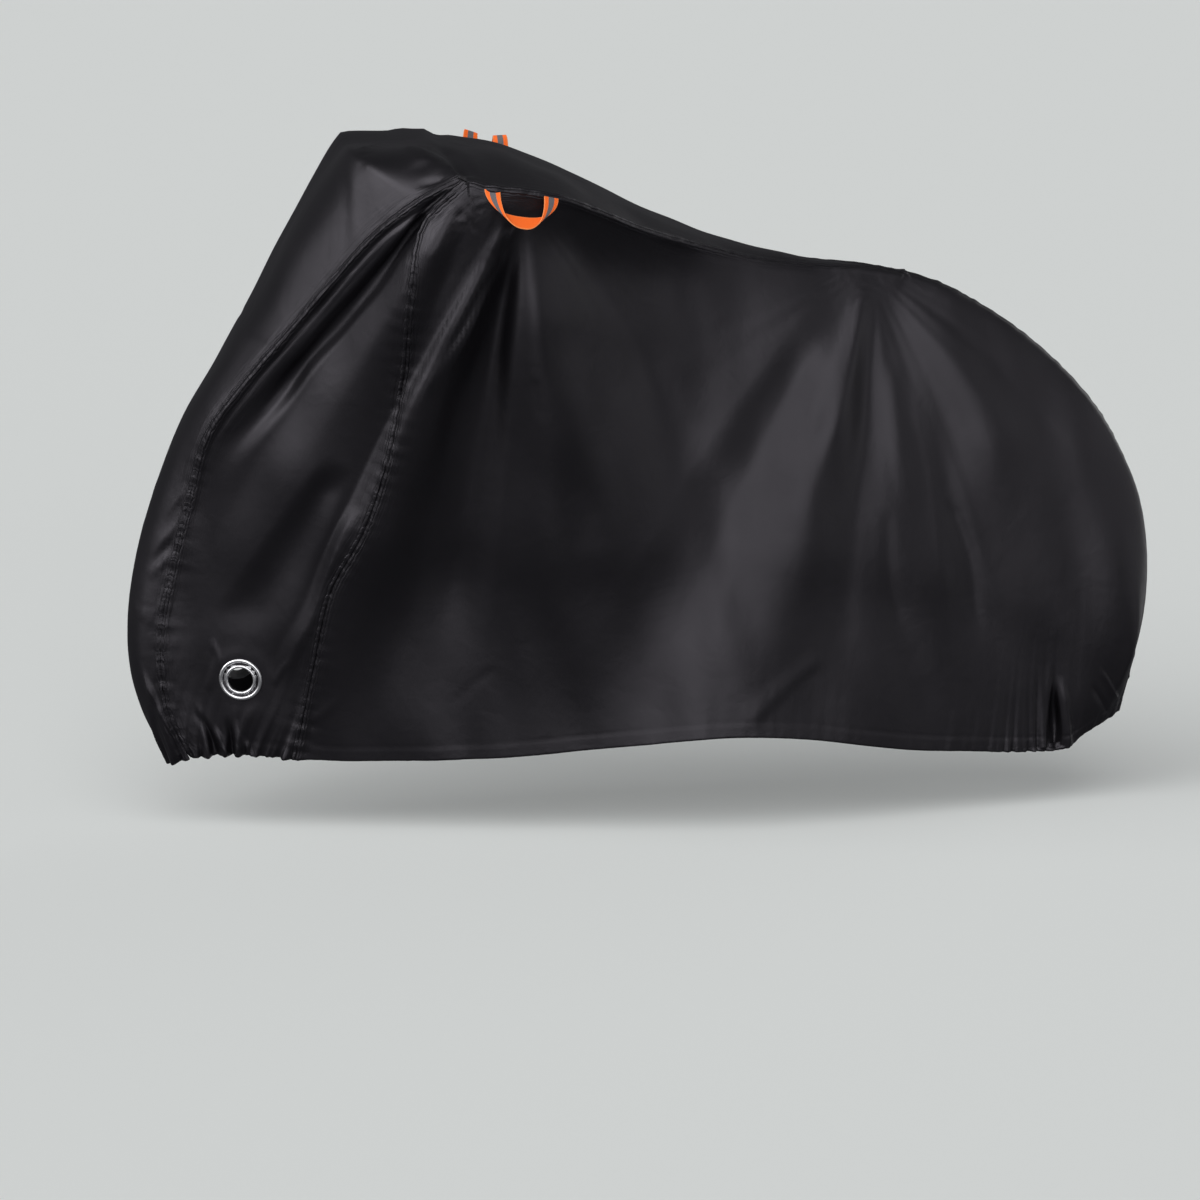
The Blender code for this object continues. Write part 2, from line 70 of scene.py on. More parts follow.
SHEET = 0.0008                   # thickness of the visible cloth
SHEET_AT = 0.0014                # from the panels' grids out to the visible cloth's outer face
ROWS = 150                       # cells from the hem up to the bar end
GUSSET_COLUMNS = 78
TOP_COLUMNS = 130                # cells along the top seam
BACK_COLUMNS = 172               # cells along the back seam
HALF_STRIP = 46                  # cells from a shaping seam to the middle of the centre panel
HEM_ROLL = 0.0016                # radius of the hem's turned edge
HEM_TURN = 5                     # rows round the turned edge
HEM_BACK = 0.012                 # how far the turned edge runs up inside
HEM_BAND = 0.023                 # height of the hem's channel
NOSE_CORNER = 11                 # the section where the cloth turns over the front of the bar
CORNER_SHARP = 0.85              # 0 is as round as the solid, 1 a sharp turn
BAR_END = np.array([-0.260, 0.304, 1.133])   # where three panels meet over the bar's end
EYELET_FLAT = (0.052, 0.135)     # the cloth is flat inside the first radius, free past the second


class Hand(Enum):
    """The cover's two sides: which way is outwards along Y."""

    LEFT = -1.0
    RIGHT = 1.0

    @property
    def word(self) -> str:
        """The side's name, as the nodes use it."""
        return self.name.lower()

    @property
    def outwards(self) -> np.ndarray:
        """What turns (x, half-width, z) into a point on this side."""
        return np.array([1.0, self.value, 1.0])


class Section(NamedTuple):
    """One crosswise section of the centre panel: seam, shoulder and middle points of its half."""

    seam: tuple        # (x, half-width, z) on the shaping seam
    shoulder: tuple    # (x, half-width, z) where the section turns over
    middle: tuple      # (x, z) on the middle plane


NOSE = (   # from the front hem up to the bar end
    Section((-0.708, 0.045, 0.125), (-0.730, 0.028, 0.113), (-0.738, 0.107)),
    Section((-0.733, 0.050, 0.174), (-0.756, 0.030, 0.164), (-0.766, 0.158)),
    Section((-0.754, 0.058, 0.280), (-0.789, 0.033, 0.272), (-0.801, 0.268)),
    Section((-0.750, 0.064, 0.370), (-0.789, 0.037, 0.364), (-0.804, 0.360)),
    Section((-0.732, 0.072, 0.456), (-0.774, 0.042, 0.454), (-0.791, 0.453)),
    Section((-0.702, 0.088, 0.578), (-0.740, 0.050, 0.583), (-0.754, 0.586)),
    Section((-0.672, 0.112, 0.690), (-0.696, 0.066, 0.701), (-0.706, 0.706)),
    Section((-0.608, 0.142, 0.785), (-0.636, 0.088, 0.800), (-0.646, 0.806)),
    Section((-0.539, 0.174, 0.870), (-0.577, 0.112, 0.890), (-0.591, 0.898)),
    Section((-0.465, 0.212, 0.962), (-0.519, 0.146, 0.988), (-0.535, 0.997)),
    Section((-0.394, 0.250, 1.044), (-0.457, 0.180, 1.084), (-0.475, 1.097)),
    Section((-0.326, 0.283, 1.100), (-0.410, 0.200, 1.155), (-0.427, 1.161)),
    Section((-0.266, 0.303, 1.137), (-0.282, 0.200, 1.160), (-0.290, 1.163)),
)

TOP = (    # from the bar end back to the saddle
    Section((-0.252, 0.307, 1.131), (-0.266, 0.200, 1.154), (-0.274, 1.157)),
    Section((-0.222, 0.313, 1.124), (-0.222, 0.200, 1.148), (-0.222, 1.153)),
    Section((-0.165, 0.312, 1.117), (-0.165, 0.195, 1.140), (-0.165, 1.145)),
    Section((-0.108, 0.300, 1.106), (-0.108, 0.180, 1.122), (-0.108, 1.126)),
    Section((-0.030, 0.250, 1.074), (-0.030, 0.145, 1.087), (-0.030, 1.090)),
    Section((0.055, 0.182, 1.034), (0.055, 0.105, 1.045), (0.055, 1.048)),
    Section((0.160, 0.114, 0.996), (0.160, 0.066, 1.004), (0.160, 1.006)),
    Section((0.268, 0.070, 0.964), (0.268, 0.040, 0.970), (0.268, 0.972)),
    Section((0.360, 0.040, 0.949), (0.360, 0.022, 0.952), (0.360, 0.953)),
    Section((0.454, 0.020, 0.941), (0.454, 0.011, 0.942), (0.454, 0.942)),
    Section((0.520, 0.006, 0.929), (0.521, 0.003, 0.930), (0.522, 0.931)),
)

SIDE_SEAM = (   # (x, half-width, z), the puckered seam from the hem up to the bar end
    (-0.531, 0.085, 0.126),
    (-0.501, 0.118, 0.283),
    (-0.468, 0.155, 0.439),
    (-0.419, 0.190, 0.540),
    (-0.380, 0.220, 0.663),
    (-0.354, 0.250, 0.796),
    (-0.344, 0.278, 0.937),
    (-0.318, 0.298, 1.065),
    (-0.252, 0.307, 1.131),
)

BACK_SEAM = (   # (x, z) on the middle plane, from the saddle round the rear wheel to the hem
    (0.588, 0.908),
    (0.651, 0.874),
    (0.715, 0.832),
    (0.779, 0.779),
    (0.822, 0.736),
    (0.865, 0.683),
    (0.909, 0.603),
    (0.932, 0.545),
    (0.950, 0.454),
    (0.952, 0.374),
    (0.943, 0.294),
    (0.929, 0.214),
)
REAR_CORNER = (0.913, 0.152)

GUSSET_HEM = (   # (x, half-width, z), from the front seam to the puckered seam
    (-0.708, 0.045, 0.125),
    (-0.667, 0.050, 0.128),
    (-0.603, 0.062, 0.131),
    (-0.531, 0.085, 0.126),
)

SIDE_HEM = (     # (x, half-width, z), from the puckered seam back to the rear corner
    (-0.531, 0.085, 0.126),
    (-0.472, 0.095, 0.125),
    (-0.355, 0.115, 0.128),
    (-0.209, 0.142, 0.134),
    (-0.110, 0.158, 0.142),
    (0.050, 0.185, 0.160),
    (0.211, 0.200, 0.173),
    (0.302, 0.190, 0.166),
    (0.374, 0.170, 0.154),
    (0.448, 0.145, 0.137),
    (0.539, 0.118, 0.120),
    (0.613, 0.098, 0.113),
    (0.744, 0.066, 0.100),
    (0.807, 0.050, 0.099),
    (0.862, 0.026, 0.130),
    (0.913, 0.000, 0.152),
)


class Fold(NamedTuple):
    """A soft ridge (lift > 0) or trough (lift < 0) along a line, seen from the side as (x, z)."""

    start: tuple
    end: tuple
    bow: float           # how far the line's middle bends to the left of its way, metres
    spread: tuple        # half-width of the fold at its start and at its end
    lift: float
    rise: float = 0.15   # share of its length over which it rises
    lean: float = 1.0    # how many times as wide it is on the left of its way


SIDE_FOLDS = (   # on the gussets and sides
    Fold((-0.290, 1.115), (-0.667, 0.630), 0.004, (0.012, 0.034), -0.016),
    Fold((-0.272, 1.095), (-0.620, 0.360), -0.016, (0.024, 0.120), 0.022, 0.12, 1.3),
    Fold((-0.455, 0.660), (-0.640, 0.300), 0.000, (0.030, 0.070), -0.012),
    Fold((-0.176, 1.060), (-0.345, 0.775), 0.010, (0.008, 0.022), -0.009),
    Fold((-0.190, 1.060), (-0.525, 0.200), -0.027, (0.012, 0.060), 0.024, 0.25, 2.8),
    Fold((-0.170, 1.070), (-0.320, 0.150), 0.000, (0.020, 0.190), -0.026, 0.15, 0.6),
    Fold((-0.150, 1.085), (-0.030, 0.120), 0.000, (0.022, 0.240), 0.038, 0.22, 2.0),
    Fold((0.415, 0.920), (0.030, 0.140), -0.035, (0.030, 0.160), -0.010, 0.30, 0.6),
    Fold((0.455, 0.930), (0.240, 0.150), -0.010, (0.020, 0.180), 0.018, 0.30, 0.9),
    Fold((0.460, 0.910), (0.450, 0.500), -0.010, (0.012, 0.065), -0.006, 0.40),
    Fold((0.480, 0.925), (0.780, 0.480), 0.020, (0.020, 0.140), 0.010, 0.40, 0.8),
    Fold((0.560, 0.680), (0.650, 0.260), 0.000, (0.020, 0.060), -0.006, 0.50),
    Fold((0.780, 0.260), (0.788, 0.080), 0.000, (0.008, 0.026), -0.016, 0.90),
)

CENTRE_FOLDS = (   # on the centre panel, seen from above as (x, y)
    Fold((-0.250, -0.300), (-0.300, 0.000), -0.010, (0.018, 0.030), -0.010),
    Fold((-0.318, -0.240), (-0.330, -0.100), 0.000, (0.026, 0.022), 0.008),
)

FOLD_FALL = 0.40               # share of a fold's length over which it dies away
CENTRE_FAR = 0.3               # share of the centre panel's folds on its far half
FAR_SHIFT = (0.018, -0.022)    # how far the far side's folds lie elsewhere
FAR_LIFT = 0.85                # and how high they are beside the near side's


class Crease(NamedTuple):
    """A finer ridge (lift > 0) or trough (lift < 0) along a smooth line on the cloth."""

    line: tuple                # points as (x, z) on a side or gusset, (x, y) on the centre panel
    lift: float
    left: float                # half-width on the left of its way, at its start
    right: float               # and on the right
    grow: float = 1.0          # how many times as wide it is at its end
    crest: float = 0.3         # 0 is a round crest, 1 a sharp one
    fade: tuple = (0.15, 0.35)   # shares of its length over which it rises and dies away


SIDE_CREASES = (
    # the drawn line under the carrying loop and the ridges beside it
    Crease(((-0.176, 1.070), (-0.200, 1.028), (-0.223, 0.995), (-0.248, 0.950)),
           -0.0060, 0.006, 0.007, 1.6, 0.9, (0.05, 0.60)),
    Crease(((-0.190, 1.060), (-0.225, 0.996), (-0.272, 0.893), (-0.297, 0.845), (-0.334, 0.774),
            (-0.372, 0.690)), 0.0050, 0.010, 0.010, 2.4, 0.7, (0.10, 0.45)),
    Crease(((-0.178, 1.056), (-0.210, 0.985), (-0.245, 0.897), (-0.274, 0.845), (-0.312, 0.760)),
           0.0055, 0.009, 0.024, 1.8, 0.8, (0.06, 0.45)),
    Crease(((-0.168, 1.080), (-0.170, 0.998), (-0.183, 0.933), (-0.196, 0.853), (-0.207, 0.730),
            (-0.222, 0.623)), -0.0040, 0.014, 0.012, 3.0, 0.4, (0.10, 0.60)),
    # short ones beside the loop
    Crease(((-0.243, 1.103), (-0.232, 1.106), (-0.222, 1.107)),
           -0.0022, 0.004, 0.003, 1.0, 0.7, (0.3, 0.3)),
    Crease(((-0.240, 1.086), (-0.229, 1.090), (-0.218, 1.092)),
           -0.0020, 0.004, 0.003, 1.0, 0.7, (0.3, 0.3)),
    Crease(((-0.141, 0.807), (-0.128, 0.728)), -0.0015, 0.010, 0.010, 1.2, 0.5),
    Crease(((-0.262, 1.110), (-0.290, 1.060), (-0.311, 1.000)),
           0.0030, 0.014, 0.010, 1.6, 0.6, (0.15, 0.6)),
    # from the saddle
    Crease(((0.452, 0.925), (0.425, 0.830), (0.392, 0.720), (0.345, 0.600), (0.300, 0.440)),
           0.0022, 0.010, 0.022, 3.0, 0.4, (0.12, 0.50)),
    Crease(((0.487, 0.800), (0.499, 0.650), (0.529, 0.493)), 0.0024, 0.026, 0.018, 1.8, 0.3),
    # towards the hem
    Crease(((0.364, 0.302), (0.317, 0.267), (0.251, 0.214), (0.200, 0.160)),
           0.0018, 0.016, 0.026, 1.5, 0.4),
    Crease(((0.583, 0.559), (0.625, 0.459), (0.639, 0.361), (0.647, 0.294)),
           -0.0022, 0.014, 0.022, 1.5, 0.4),
    Crease(((0.474, 0.551), (0.484, 0.400), (0.517, 0.300)), -0.0015, 0.018, 0.018, 1.5, 0.4),
    Crease(((-0.526, 0.173), (-0.490, 0.210), (-0.450, 0.246)),
           0.0022, 0.006, 0.012, 1.6, 0.8, (0.2, 0.6)),
    Crease(((-0.500, 0.170), (-0.512, 0.235), (-0.500, 0.300)), -0.0030, 0.012, 0.010, 1.3, 0.4),
    Crease(((-0.193, 0.294), (-0.234, 0.261), (-0.270, 0.215)), -0.0012, 0.010, 0.012, 1.3, 0.6),
    # the pleat over the rear wheel and the gathers beside it
    Crease(((0.783, 0.225), (0.786, 0.180), (0.790, 0.135), (0.792, 0.100)),
           -0.0130, 0.007, 0.009, 2.4, 0.8, (0.5, 0.02)),
    Crease(((0.797, 0.235), (0.806, 0.180), (0.815, 0.120), (0.820, 0.100)),
           0.0060, 0.008, 0.020, 1.7, 0.6, (0.35, 0.02)),
    Crease(((0.751, 0.244), (0.754, 0.183), (0.755, 0.100)),
           -0.0035, 0.008, 0.008, 1.5, 0.7, (0.4, 0.02)),
    Crease(((0.776, 0.262), (0.777, 0.187), (0.770, 0.100)),
           0.0032, 0.007, 0.010, 1.4, 0.7, (0.4, 0.02)),
    Crease(((0.862, 0.245), (0.887, 0.207), (0.908, 0.170)),
           0.0022, 0.006, 0.010, 1.3, 0.8, (0.3, 0.2)),
    Crease(((0.850, 0.215), (0.872, 0.180), (0.890, 0.150)),
           -0.0022, 0.008, 0.010, 1.3, 0.7, (0.3, 0.2)),
)

GUSSET_CREASES = (
    # the dark valley beside the rolled pleat, and the broad ridge behind it
    Crease(((-0.280, 1.114), (-0.328, 1.063), (-0.399, 0.955), (-0.445, 0.896), (-0.508, 0.821),
            (-0.566, 0.737), (-0.627, 0.673), (-0.675, 0.600)),
           -0.0075, 0.010, 0.010, 2.8, 0.3, (0.05, 0.40)),
    Crease(((-0.270, 1.100), (-0.290, 1.040), (-0.328, 0.960), (-0.372, 0.870)),
           0.0030, 0.010, 0.014, 2.6, 0.35, (0.08, 0.60)),
    Crease(((-0.424, 0.588), (-0.468, 0.469), (-0.489, 0.397), (-0.528, 0.325), (-0.552, 0.250)),
           0.0060, 0.014, 0.024, 1.3, 0.6, (0.15, 0.25)),
    # short ones by the bar's end
    Crease(((-0.268, 1.124), (-0.287, 1.109), (-0.306, 1.094), (-0.332, 1.068)),
           0.0034, 0.004, 0.005, 1.3, 0.9, (0.1, 0.5)),
    Crease(((-0.270, 1.110), (-0.297, 1.087), (-0.323, 1.060)),
           0.0028, 0.004, 0.005, 1.3, 0.9, (0.1, 0.5)),
    Crease(((-0.268, 1.117), (-0.290, 1.098), (-0.318, 1.073)),
           -0.0026, 0.004, 0.004, 1.2, 0.9, (0.1, 0.5)),
    Crease(((-0.283, 1.084), (-0.300, 1.070), (-0.316, 1.050)),
           0.0016, 0.003, 0.004, 1.2, 0.9, (0.2, 0.5)),
    # round the eyelet and down to the hem
    Crease(((-0.672, 0.338), (-0.657, 0.300), (-0.665, 0.268), (-0.684, 0.240)),
           0.0026, 0.006, 0.010, 1.3, 0.7),
    Crease(((-0.566, 0.262), (-0.548, 0.291), (-0.529, 0.308)),
           0.0024, 0.007, 0.007, 1.3, 0.8, (0.05, 0.4)),
    Crease(((-0.694, 0.225), (-0.674, 0.125)), 0.0060, 0.006, 0.008, 1.4, 0.7, (0.4, 0.02)),
    Crease(((-0.668, 0.185), (-0.641, 0.125)), 0.0060, 0.006, 0.008, 1.5, 0.7, (0.4, 0.02)),
    Crease(((-0.632, 0.205), (-0.624, 0.125)), 0.0056, 0.007, 0.007, 1.5, 0.7, (0.5, 0.02)),
    Crease(((-0.617, 0.165), (-0.603, 0.125)), 0.0050, 0.006, 0.008, 1.4, 0.7, (0.4, 0.02)),
    Crease(((-0.700, 0.215), (-0.676, 0.170), (-0.662, 0.125)),
           -0.0085, 0.009, 0.010, 1.4, 0.6, (0.4, 0.02)),
    Crease(((-0.644, 0.200), (-0.634, 0.125)), -0.0080, 0.008, 0.009, 1.4, 0.6, (0.4, 0.02)),
)

NOSE_CREASES = (   # as (x, z) too, on the half of the centre panel that faces each side
    Crease(((-0.704, 0.548), (-0.735, 0.518), (-0.775, 0.470)),
           0.0030, 0.008, 0.009, 1.4, 0.6, (0.1, 0.5)),
    Crease(((-0.716, 0.498), (-0.745, 0.466), (-0.778, 0.436)),
           0.0030, 0.007, 0.009, 1.4, 0.6, (0.1, 0.5)),
    Crease(((-0.690, 0.612), (-0.722, 0.574), (-0.755, 0.530)),
           0.0026, 0.008, 0.010, 1.4, 0.6, (0.1, 0.5)),
    Crease(((-0.710, 0.522), (-0.742, 0.490), (-0.776, 0.450)),
           -0.0024, 0.008, 0.008, 1.2, 0.6, (0.1, 0.5)),
    Crease(((-0.798, 0.385), (-0.778, 0.376), (-0.757, 0.378)),
           0.0020, 0.006, 0.008, 1.0, 0.8, (0.2, 0.1)),
    Crease(((-0.786, 0.285), (-0.760, 0.215), (-0.724, 0.120)),
           0.0090, 0.008, 0.010, 1.0, 0.8, (0.3, 0.02)),
    Crease(((-0.765, 0.230), (-0.742, 0.180), (-0.714, 0.120)),
           0.0080, 0.007, 0.009, 1.0, 0.8, (0.3, 0.02)),
    Crease(((-0.776, 0.250), (-0.752, 0.195), (-0.719, 0.120)),
           -0.0085, 0.007, 0.009, 1.0, 0.8, (0.3, 0.02)),
    Crease(((-0.615, 0.857), (-0.590, 0.850), (-0.560, 0.842)), -0.0016, 0.014, 0.014, 1.0, 0.4),
)

CENTRE_CREASES = (   # points as (x, y), on the top behind and before the bar
    Crease(((-0.417, -0.158), (-0.408, -0.130), (-0.380, -0.060), (-0.351, 0.033), (-0.340, 0.080)),
           0.0040, 0.006, 0.012, 1.0, 0.8, (0.12, 0.85)),
    Crease(((-0.284, -0.284), (-0.306, -0.276), (-0.336, -0.262)),
           -0.0050, 0.007, 0.010, 1.3, 0.3, (0.2, 0.4)),
    Crease(((-0.250, -0.290), (-0.262, -0.235), (-0.280, -0.175), (-0.305, -0.120),
            (-0.330, -0.070)), -0.0060, 0.018, 0.022, 1.2, 0.4, (0.10, 0.5)),
    Crease(((-0.290, -0.270), (-0.300, -0.220), (-0.316, -0.150)), 0.0045, 0.022, 0.022, 1.2, 0.4),
    Crease(((-0.410, -0.205), (-0.412, -0.180), (-0.408, -0.150)), -0.0030, 0.008, 0.010, 1.0, 0.6),
    Crease(((-0.426, -0.235), (-0.432, -0.160), (-0.432, -0.060)),
           0.0022, 0.014, 0.020, 1.0, 0.6, (0.2, 0.5)),
    Crease(((-0.225, -0.033), (-0.245, 0.010), (-0.261, 0.052)), 0.0012, 0.006, 0.010, 1.0, 0.6),
)


class Fan(NamedTuple):
    """Fine folds that spread over the cloth from a point where it is held, as (x, z)."""

    centre: tuple
    between: tuple     # directions of its edges, degrees from +X towards +Z
    reach: float       # how far the folds run before they die away, metres
    lift: float
    folds: float       # how many folds to a radian
    seed: int


FANS = (
    Fan((-0.262, 1.134), (-165.0, -60.0), 0.080, 0.0019, 9.0, 3),
    Fan((-0.262, 1.140), (-115.0, -25.0), 0.030, 0.0030, 14.0, 9),
    Fan((-0.165, 1.112), (-160.0, -20.0), 0.100, 0.0008, 8.0, 17),
    Fan((0.452, 0.950), (-175.0, -15.0), 0.150, 0.0010, 5.0, 29),
    Fan((-0.140, 1.112), (-40.0, -5.0), 0.060, 0.0008, 14.0, 31),
)


@dataclass(frozen=True)
class Sewing:
    """What sewing does to the cloth along one kind of seam."""

    pucker: float          # height of the puckers at the seam, metres
    spacing: float         # their mean distance from one another
    depth: float           # how far they reach into the cloth
    welt: float            # height of the doubled cloth beside the seam
    welt_at: float         # distance of its middle from the seam
    crumple: tuple         # strength of the fine wrinkles at the seam's start and end
    stitch_at: float       # distance of the stitches from the seam
    seed: int              # picks the puckers


SEWING = {
    "front": Sewing(0.0019, 0.024, 0.014, 0.0010, 0.0060, (1.0, 1.20), 0.0050, 11),
    "side": Sewing(0.0015, 0.021, 0.013, 0.0014, 0.0040, (0.9, 1.1), 0.0062, 23),
    "top": Sewing(0.0010, 0.030, 0.011, 0.0015, 0.0045, (0.8, 0.25), 0.0070, 37),
    "back": Sewing(0.0006, 0.026, 0.010, 0.0016, 0.0020, (0.3, 0.5), 0.0055, 41),
}

ROLL_FROM = (0.40, 0.56)     # shares of the front seam over which its rolled pleat rises
ROLL_HIGH = 0.0072           # height of the roll above the cloth
ROLL_TUCK = 0.0034           # depth of the dark tuck on its nose side
ROLL_TUCK_WIDE = 0.012       # half-width of the tuck
ROLL_STEEP = 0.0038          # half-width of the roll on its nose side
ROLL_AT = 0.0035             # distance of its middle from the seam on the other side
ROLL_WIDE = 0.0070           # and its half-width there
ROLL_UNEVEN = (0.22, 0.120)  # share by which its height varies, and the mean length of the waves
ROLL_SECOND = (0.0016, 0.021, 0.0045)   # height, distance and half-width of the fold beside it
SEAM_VALLEY = (0.0005, 0.0018)   # depth and half-width of the valley along every seam
WELT_WIDE = 0.0030           # half-width of the doubled cloth beside a seam
BAR_CLEAR = (0.009, 0.016)   # seams lift no cloth this near the bar's end; they begin over the next
RUN_APART = 3.7              # metres between two seams' places in the wrinkles' pattern

GATHER_FRONT = 0.0050        # height of the hem's gathers at the front
GATHER_REAR = 0.0036         # at the rear
GATHER_ELSEWHERE = 0.0004    # and between
GATHER_TO = (-0.500, 0.080)      # x where the front's gathers end, and over how far they grow
GATHER_FROM = (0.640, 0.100)     # x where the rear's begin, and over how far they grow
GATHER_END = (0.800, 0.040)      # x where those die away, and over how far
GATHER_LENGTHS = (0.030, 0.014)   # mean lengths of its coarse and fine waves
GATHER_SEEDS = {None: 67, Hand.LEFT: 51, Hand.RIGHT: 67}   # None is the centre panel
HEM_CHANNEL = 0.0004         # how far the hem's channel stands up
HEM_STITCH = 0.0005          # how deep its stitches draw in

LOOP_ROOTS = {   # places of a loop's two ends along a side's top edge
    Hand.LEFT: (0.0200, 0.0670),
    Hand.RIGHT: (0.0300, 0.0560),
}

# ---------------------------------------------------------------- how folds and edges are shaped

UNEVEN_LENGTHS = (0.42, 0.33, 0.25, 0.19, 0.15, 0.11, 0.085)   # of the slow unevenness' waves
UNEVEN_SLOPE = 0.0050        # height of the slow unevenness beside its length
UNEVEN_TOP = 0.6             # and on the centre panel, beside the sides'
UNEVEN_SEEDS = {None: 13, Hand.LEFT: 5, Hand.RIGHT: 8}
SADDLE_SOFT = (48, 50)       # columns before and behind the saddle's corner that are softened
SADDLE_TURNS = 160           # and how many times
TOP_HOLD = 0.06              # shares of a grid over which its edges hold the folds down
REAR_HOLD = 0.05
FRONT_HOLD = 0.15
CREASE_POINTS = 24           # points along a crease's smooth line
CREST_POWER = 1.6            # how a sharp crest falls away
STRIP_SMOOTHING = 14         # times that the centre panel's rows are smoothed
FAN_EDGE = 0.25              # radians over which a fan begins and ends
FAN_FROM = 0.012             # distance from its point where it begins
FAN_RISE = 0.030             # and over which it rises
EYELET_COVER = 0.040         # the cloth lies bare of creases out to this distance
EYELET_EASE = 0.024          # and they come back over this one
EYELET_CUT = 0.0275          # radius of the hole cut in the cloth


# ---------------------------------------------------------------- curves and fields

def chord_knots(points: np.ndarray) -> np.ndarray:
    """Return each point's place along the broken line through them, from 0 to 1."""
    steps = np.linalg.norm(np.diff(np.array(points, float), axis=0), axis=1)
    return np.concatenate([[0.0], np.cumsum(steps)]) / steps.sum()


def smooth_curve(points, knots=None, corner: int | None = None):
    """Make a smooth curve through points.

    Args:
        points: the points that it runs through.
        knots: their places from 0 to 1, by default in step with their distances.
        corner: the number of a point where the curve turns almost sharply.

    Returns:
        A function from places, an array of values from 0 to 1, to points.
    """
    points = np.array(points, float)
    knots = chord_knots(points) if knots is None else knots
    slopes = np.gradient(points, knots, axis=0)
    leaving, coming = slopes.copy(), slopes.copy()
    if corner is not None:
        straight = np.diff(points, axis=0) / np.diff(knots)[:, None]
        leaving[corner] += CORNER_SHARP * (straight[corner] - slopes[corner])
        coming[corner] += CORNER_SHARP * (straight[corner - 1] - slopes[corner])

    def at(t):
        t = np.clip(np.asarray(t, float), 0.0, 1.0)
        i = np.clip(np.searchsorted(knots, t, side="right") - 1, 0, len(knots) - 2)
        h = (knots[i + 1] - knots[i])[..., None]
        s = (t[..., None] - knots[i][..., None]) / h
        start = (1 + 2 * s) * (1 - s) ** 2 * points[i] + s * (1 - s) ** 2 * h * leaving[i]
        end = s * s * (3 - 2 * s) * points[i + 1] - s * s * (1 - s) * h * coming[i + 1]
        return start + end

    return at


def ease(t):
    """Rise smoothly from 0 to 1."""
    t = np.clip(t, 0.0, 1.0)
    return t * t * (3 - 2 * t)


def bell(offset, width):
    """Return a rounded bump of height 1 and about the given half-width."""
    return np.exp(-(offset / width) ** 2)


def fold_lift(places: np.ndarray, folds) -> np.ndarray:
    """Return how far soft folds lift the cloth at places, an array of 2D points."""
    lift = np.zeros(places.shape[:-1])
    for fold in folds:
        way = np.subtract(fold.end, fold.start)
        length = np.linalg.norm(way)
        way /= length
        rel = places - fold.start
        along = rel @ way / length
        t = np.clip(along, 0.0, 1.0)
        off = way[0] * rel[..., 1] - way[1] * rel[..., 0] - fold.bow * 4 * t * (1 - t)
        half = fold.spread[0] + (fold.spread[1] - fold.spread[0]) * t
        half = half * np.where(off > 0, fold.lean, 1.0)
        past = (along - t) * length / half
        shape = np.clip(1 - (off / half) ** 2 - past ** 2, 0.0, 1.0) ** 2
        lift += fold.lift * shape * ease(t / fold.rise) * ease((1 - t) / FOLD_FALL)
    return lift


def on_side(hand: Hand, items: tuple) -> tuple:
    """Return folds or creases as they lie on a side: on the far one moved a little and flatter."""
    if hand is Hand.LEFT:
        return items
    moved = []
    for number, item in enumerate(items):
        shift = np.array(FAR_SHIFT) * (1 if number % 2 else -1)
        if isinstance(item, Fold):
            line = {"start": item.start + 0.5 * shift, "end": item.end + shift, "bow": -item.bow}
        else:
            line = {"line": tuple(item.line + shift)}
        moved.append(item._replace(lift=FAR_LIFT * item.lift, **line))
    return tuple(moved)


def nearest_on_line(places: np.ndarray, line: np.ndarray):
    """Find the nearest place of a broken line for many points.

    Args:
        places: points, an array whose last axis is 2 or 3 long.
        line: the broken line's points.

    Returns:
        The share of the line's length there, the distance, and in 2D the signed offset to its left.
    """
    steps = np.diff(line, axis=0)
    lengths = np.linalg.norm(steps, axis=1)
    starts = np.concatenate([[0.0], np.cumsum(lengths)])
    best = np.full(len(places), np.inf)
    share, side = np.zeros(len(places)), np.zeros(len(places))
    for start, step, length, before in zip(line, steps, lengths, starts):
        rel = places - start
        t = np.clip(rel @ step / length ** 2, 0.0, 1.0)
        distance = np.linalg.norm(rel - t[:, None] * step, axis=1)
        closer = distance < best
        best[closer] = distance[closer]
        share[closer] = (before + t[closer] * length) / starts[-1]
        if line.shape[1] == 2:
            side[closer] = np.sign(step[0] * rel[:, 1] - step[1] * rel[:, 0])[closer]
    return share, best, side * best


def crease_lift(places: np.ndarray, creases) -> np.ndarray:
    """Return how far creases lift the cloth at places, an array of 2D points of any shape."""
    flat = places.reshape(-1, 2)
    total = np.zeros(len(flat))
    for crease in creases:
        line = smooth_curve(crease.line)(np.linspace(0.0, 1.0, CREASE_POINTS))
        reach = max(crease.left, crease.right) * max(1.0, crease.grow)
        close = ((flat > line.min(0) - reach) & (flat < line.max(0) + reach)).all(1)
        if not close.any():
            continue
        share, _, offset = nearest_on_line(flat[close], line)
        half = np.where(offset > 0, crease.left, crease.right) * (1 + (crease.grow - 1) * share)
        inner = np.clip(1 - np.abs(offset) / half, 0.0, 1.0)
        shape = (1 - crease.crest) * ease(inner) + crease.crest * inner ** CREST_POWER
        ends = ease(share / crease.fade[0]) * ease((1 - share) / crease.fade[1])
        total[close] += crease.lift * shape * ends
    return total.reshape(places.shape[:-1])


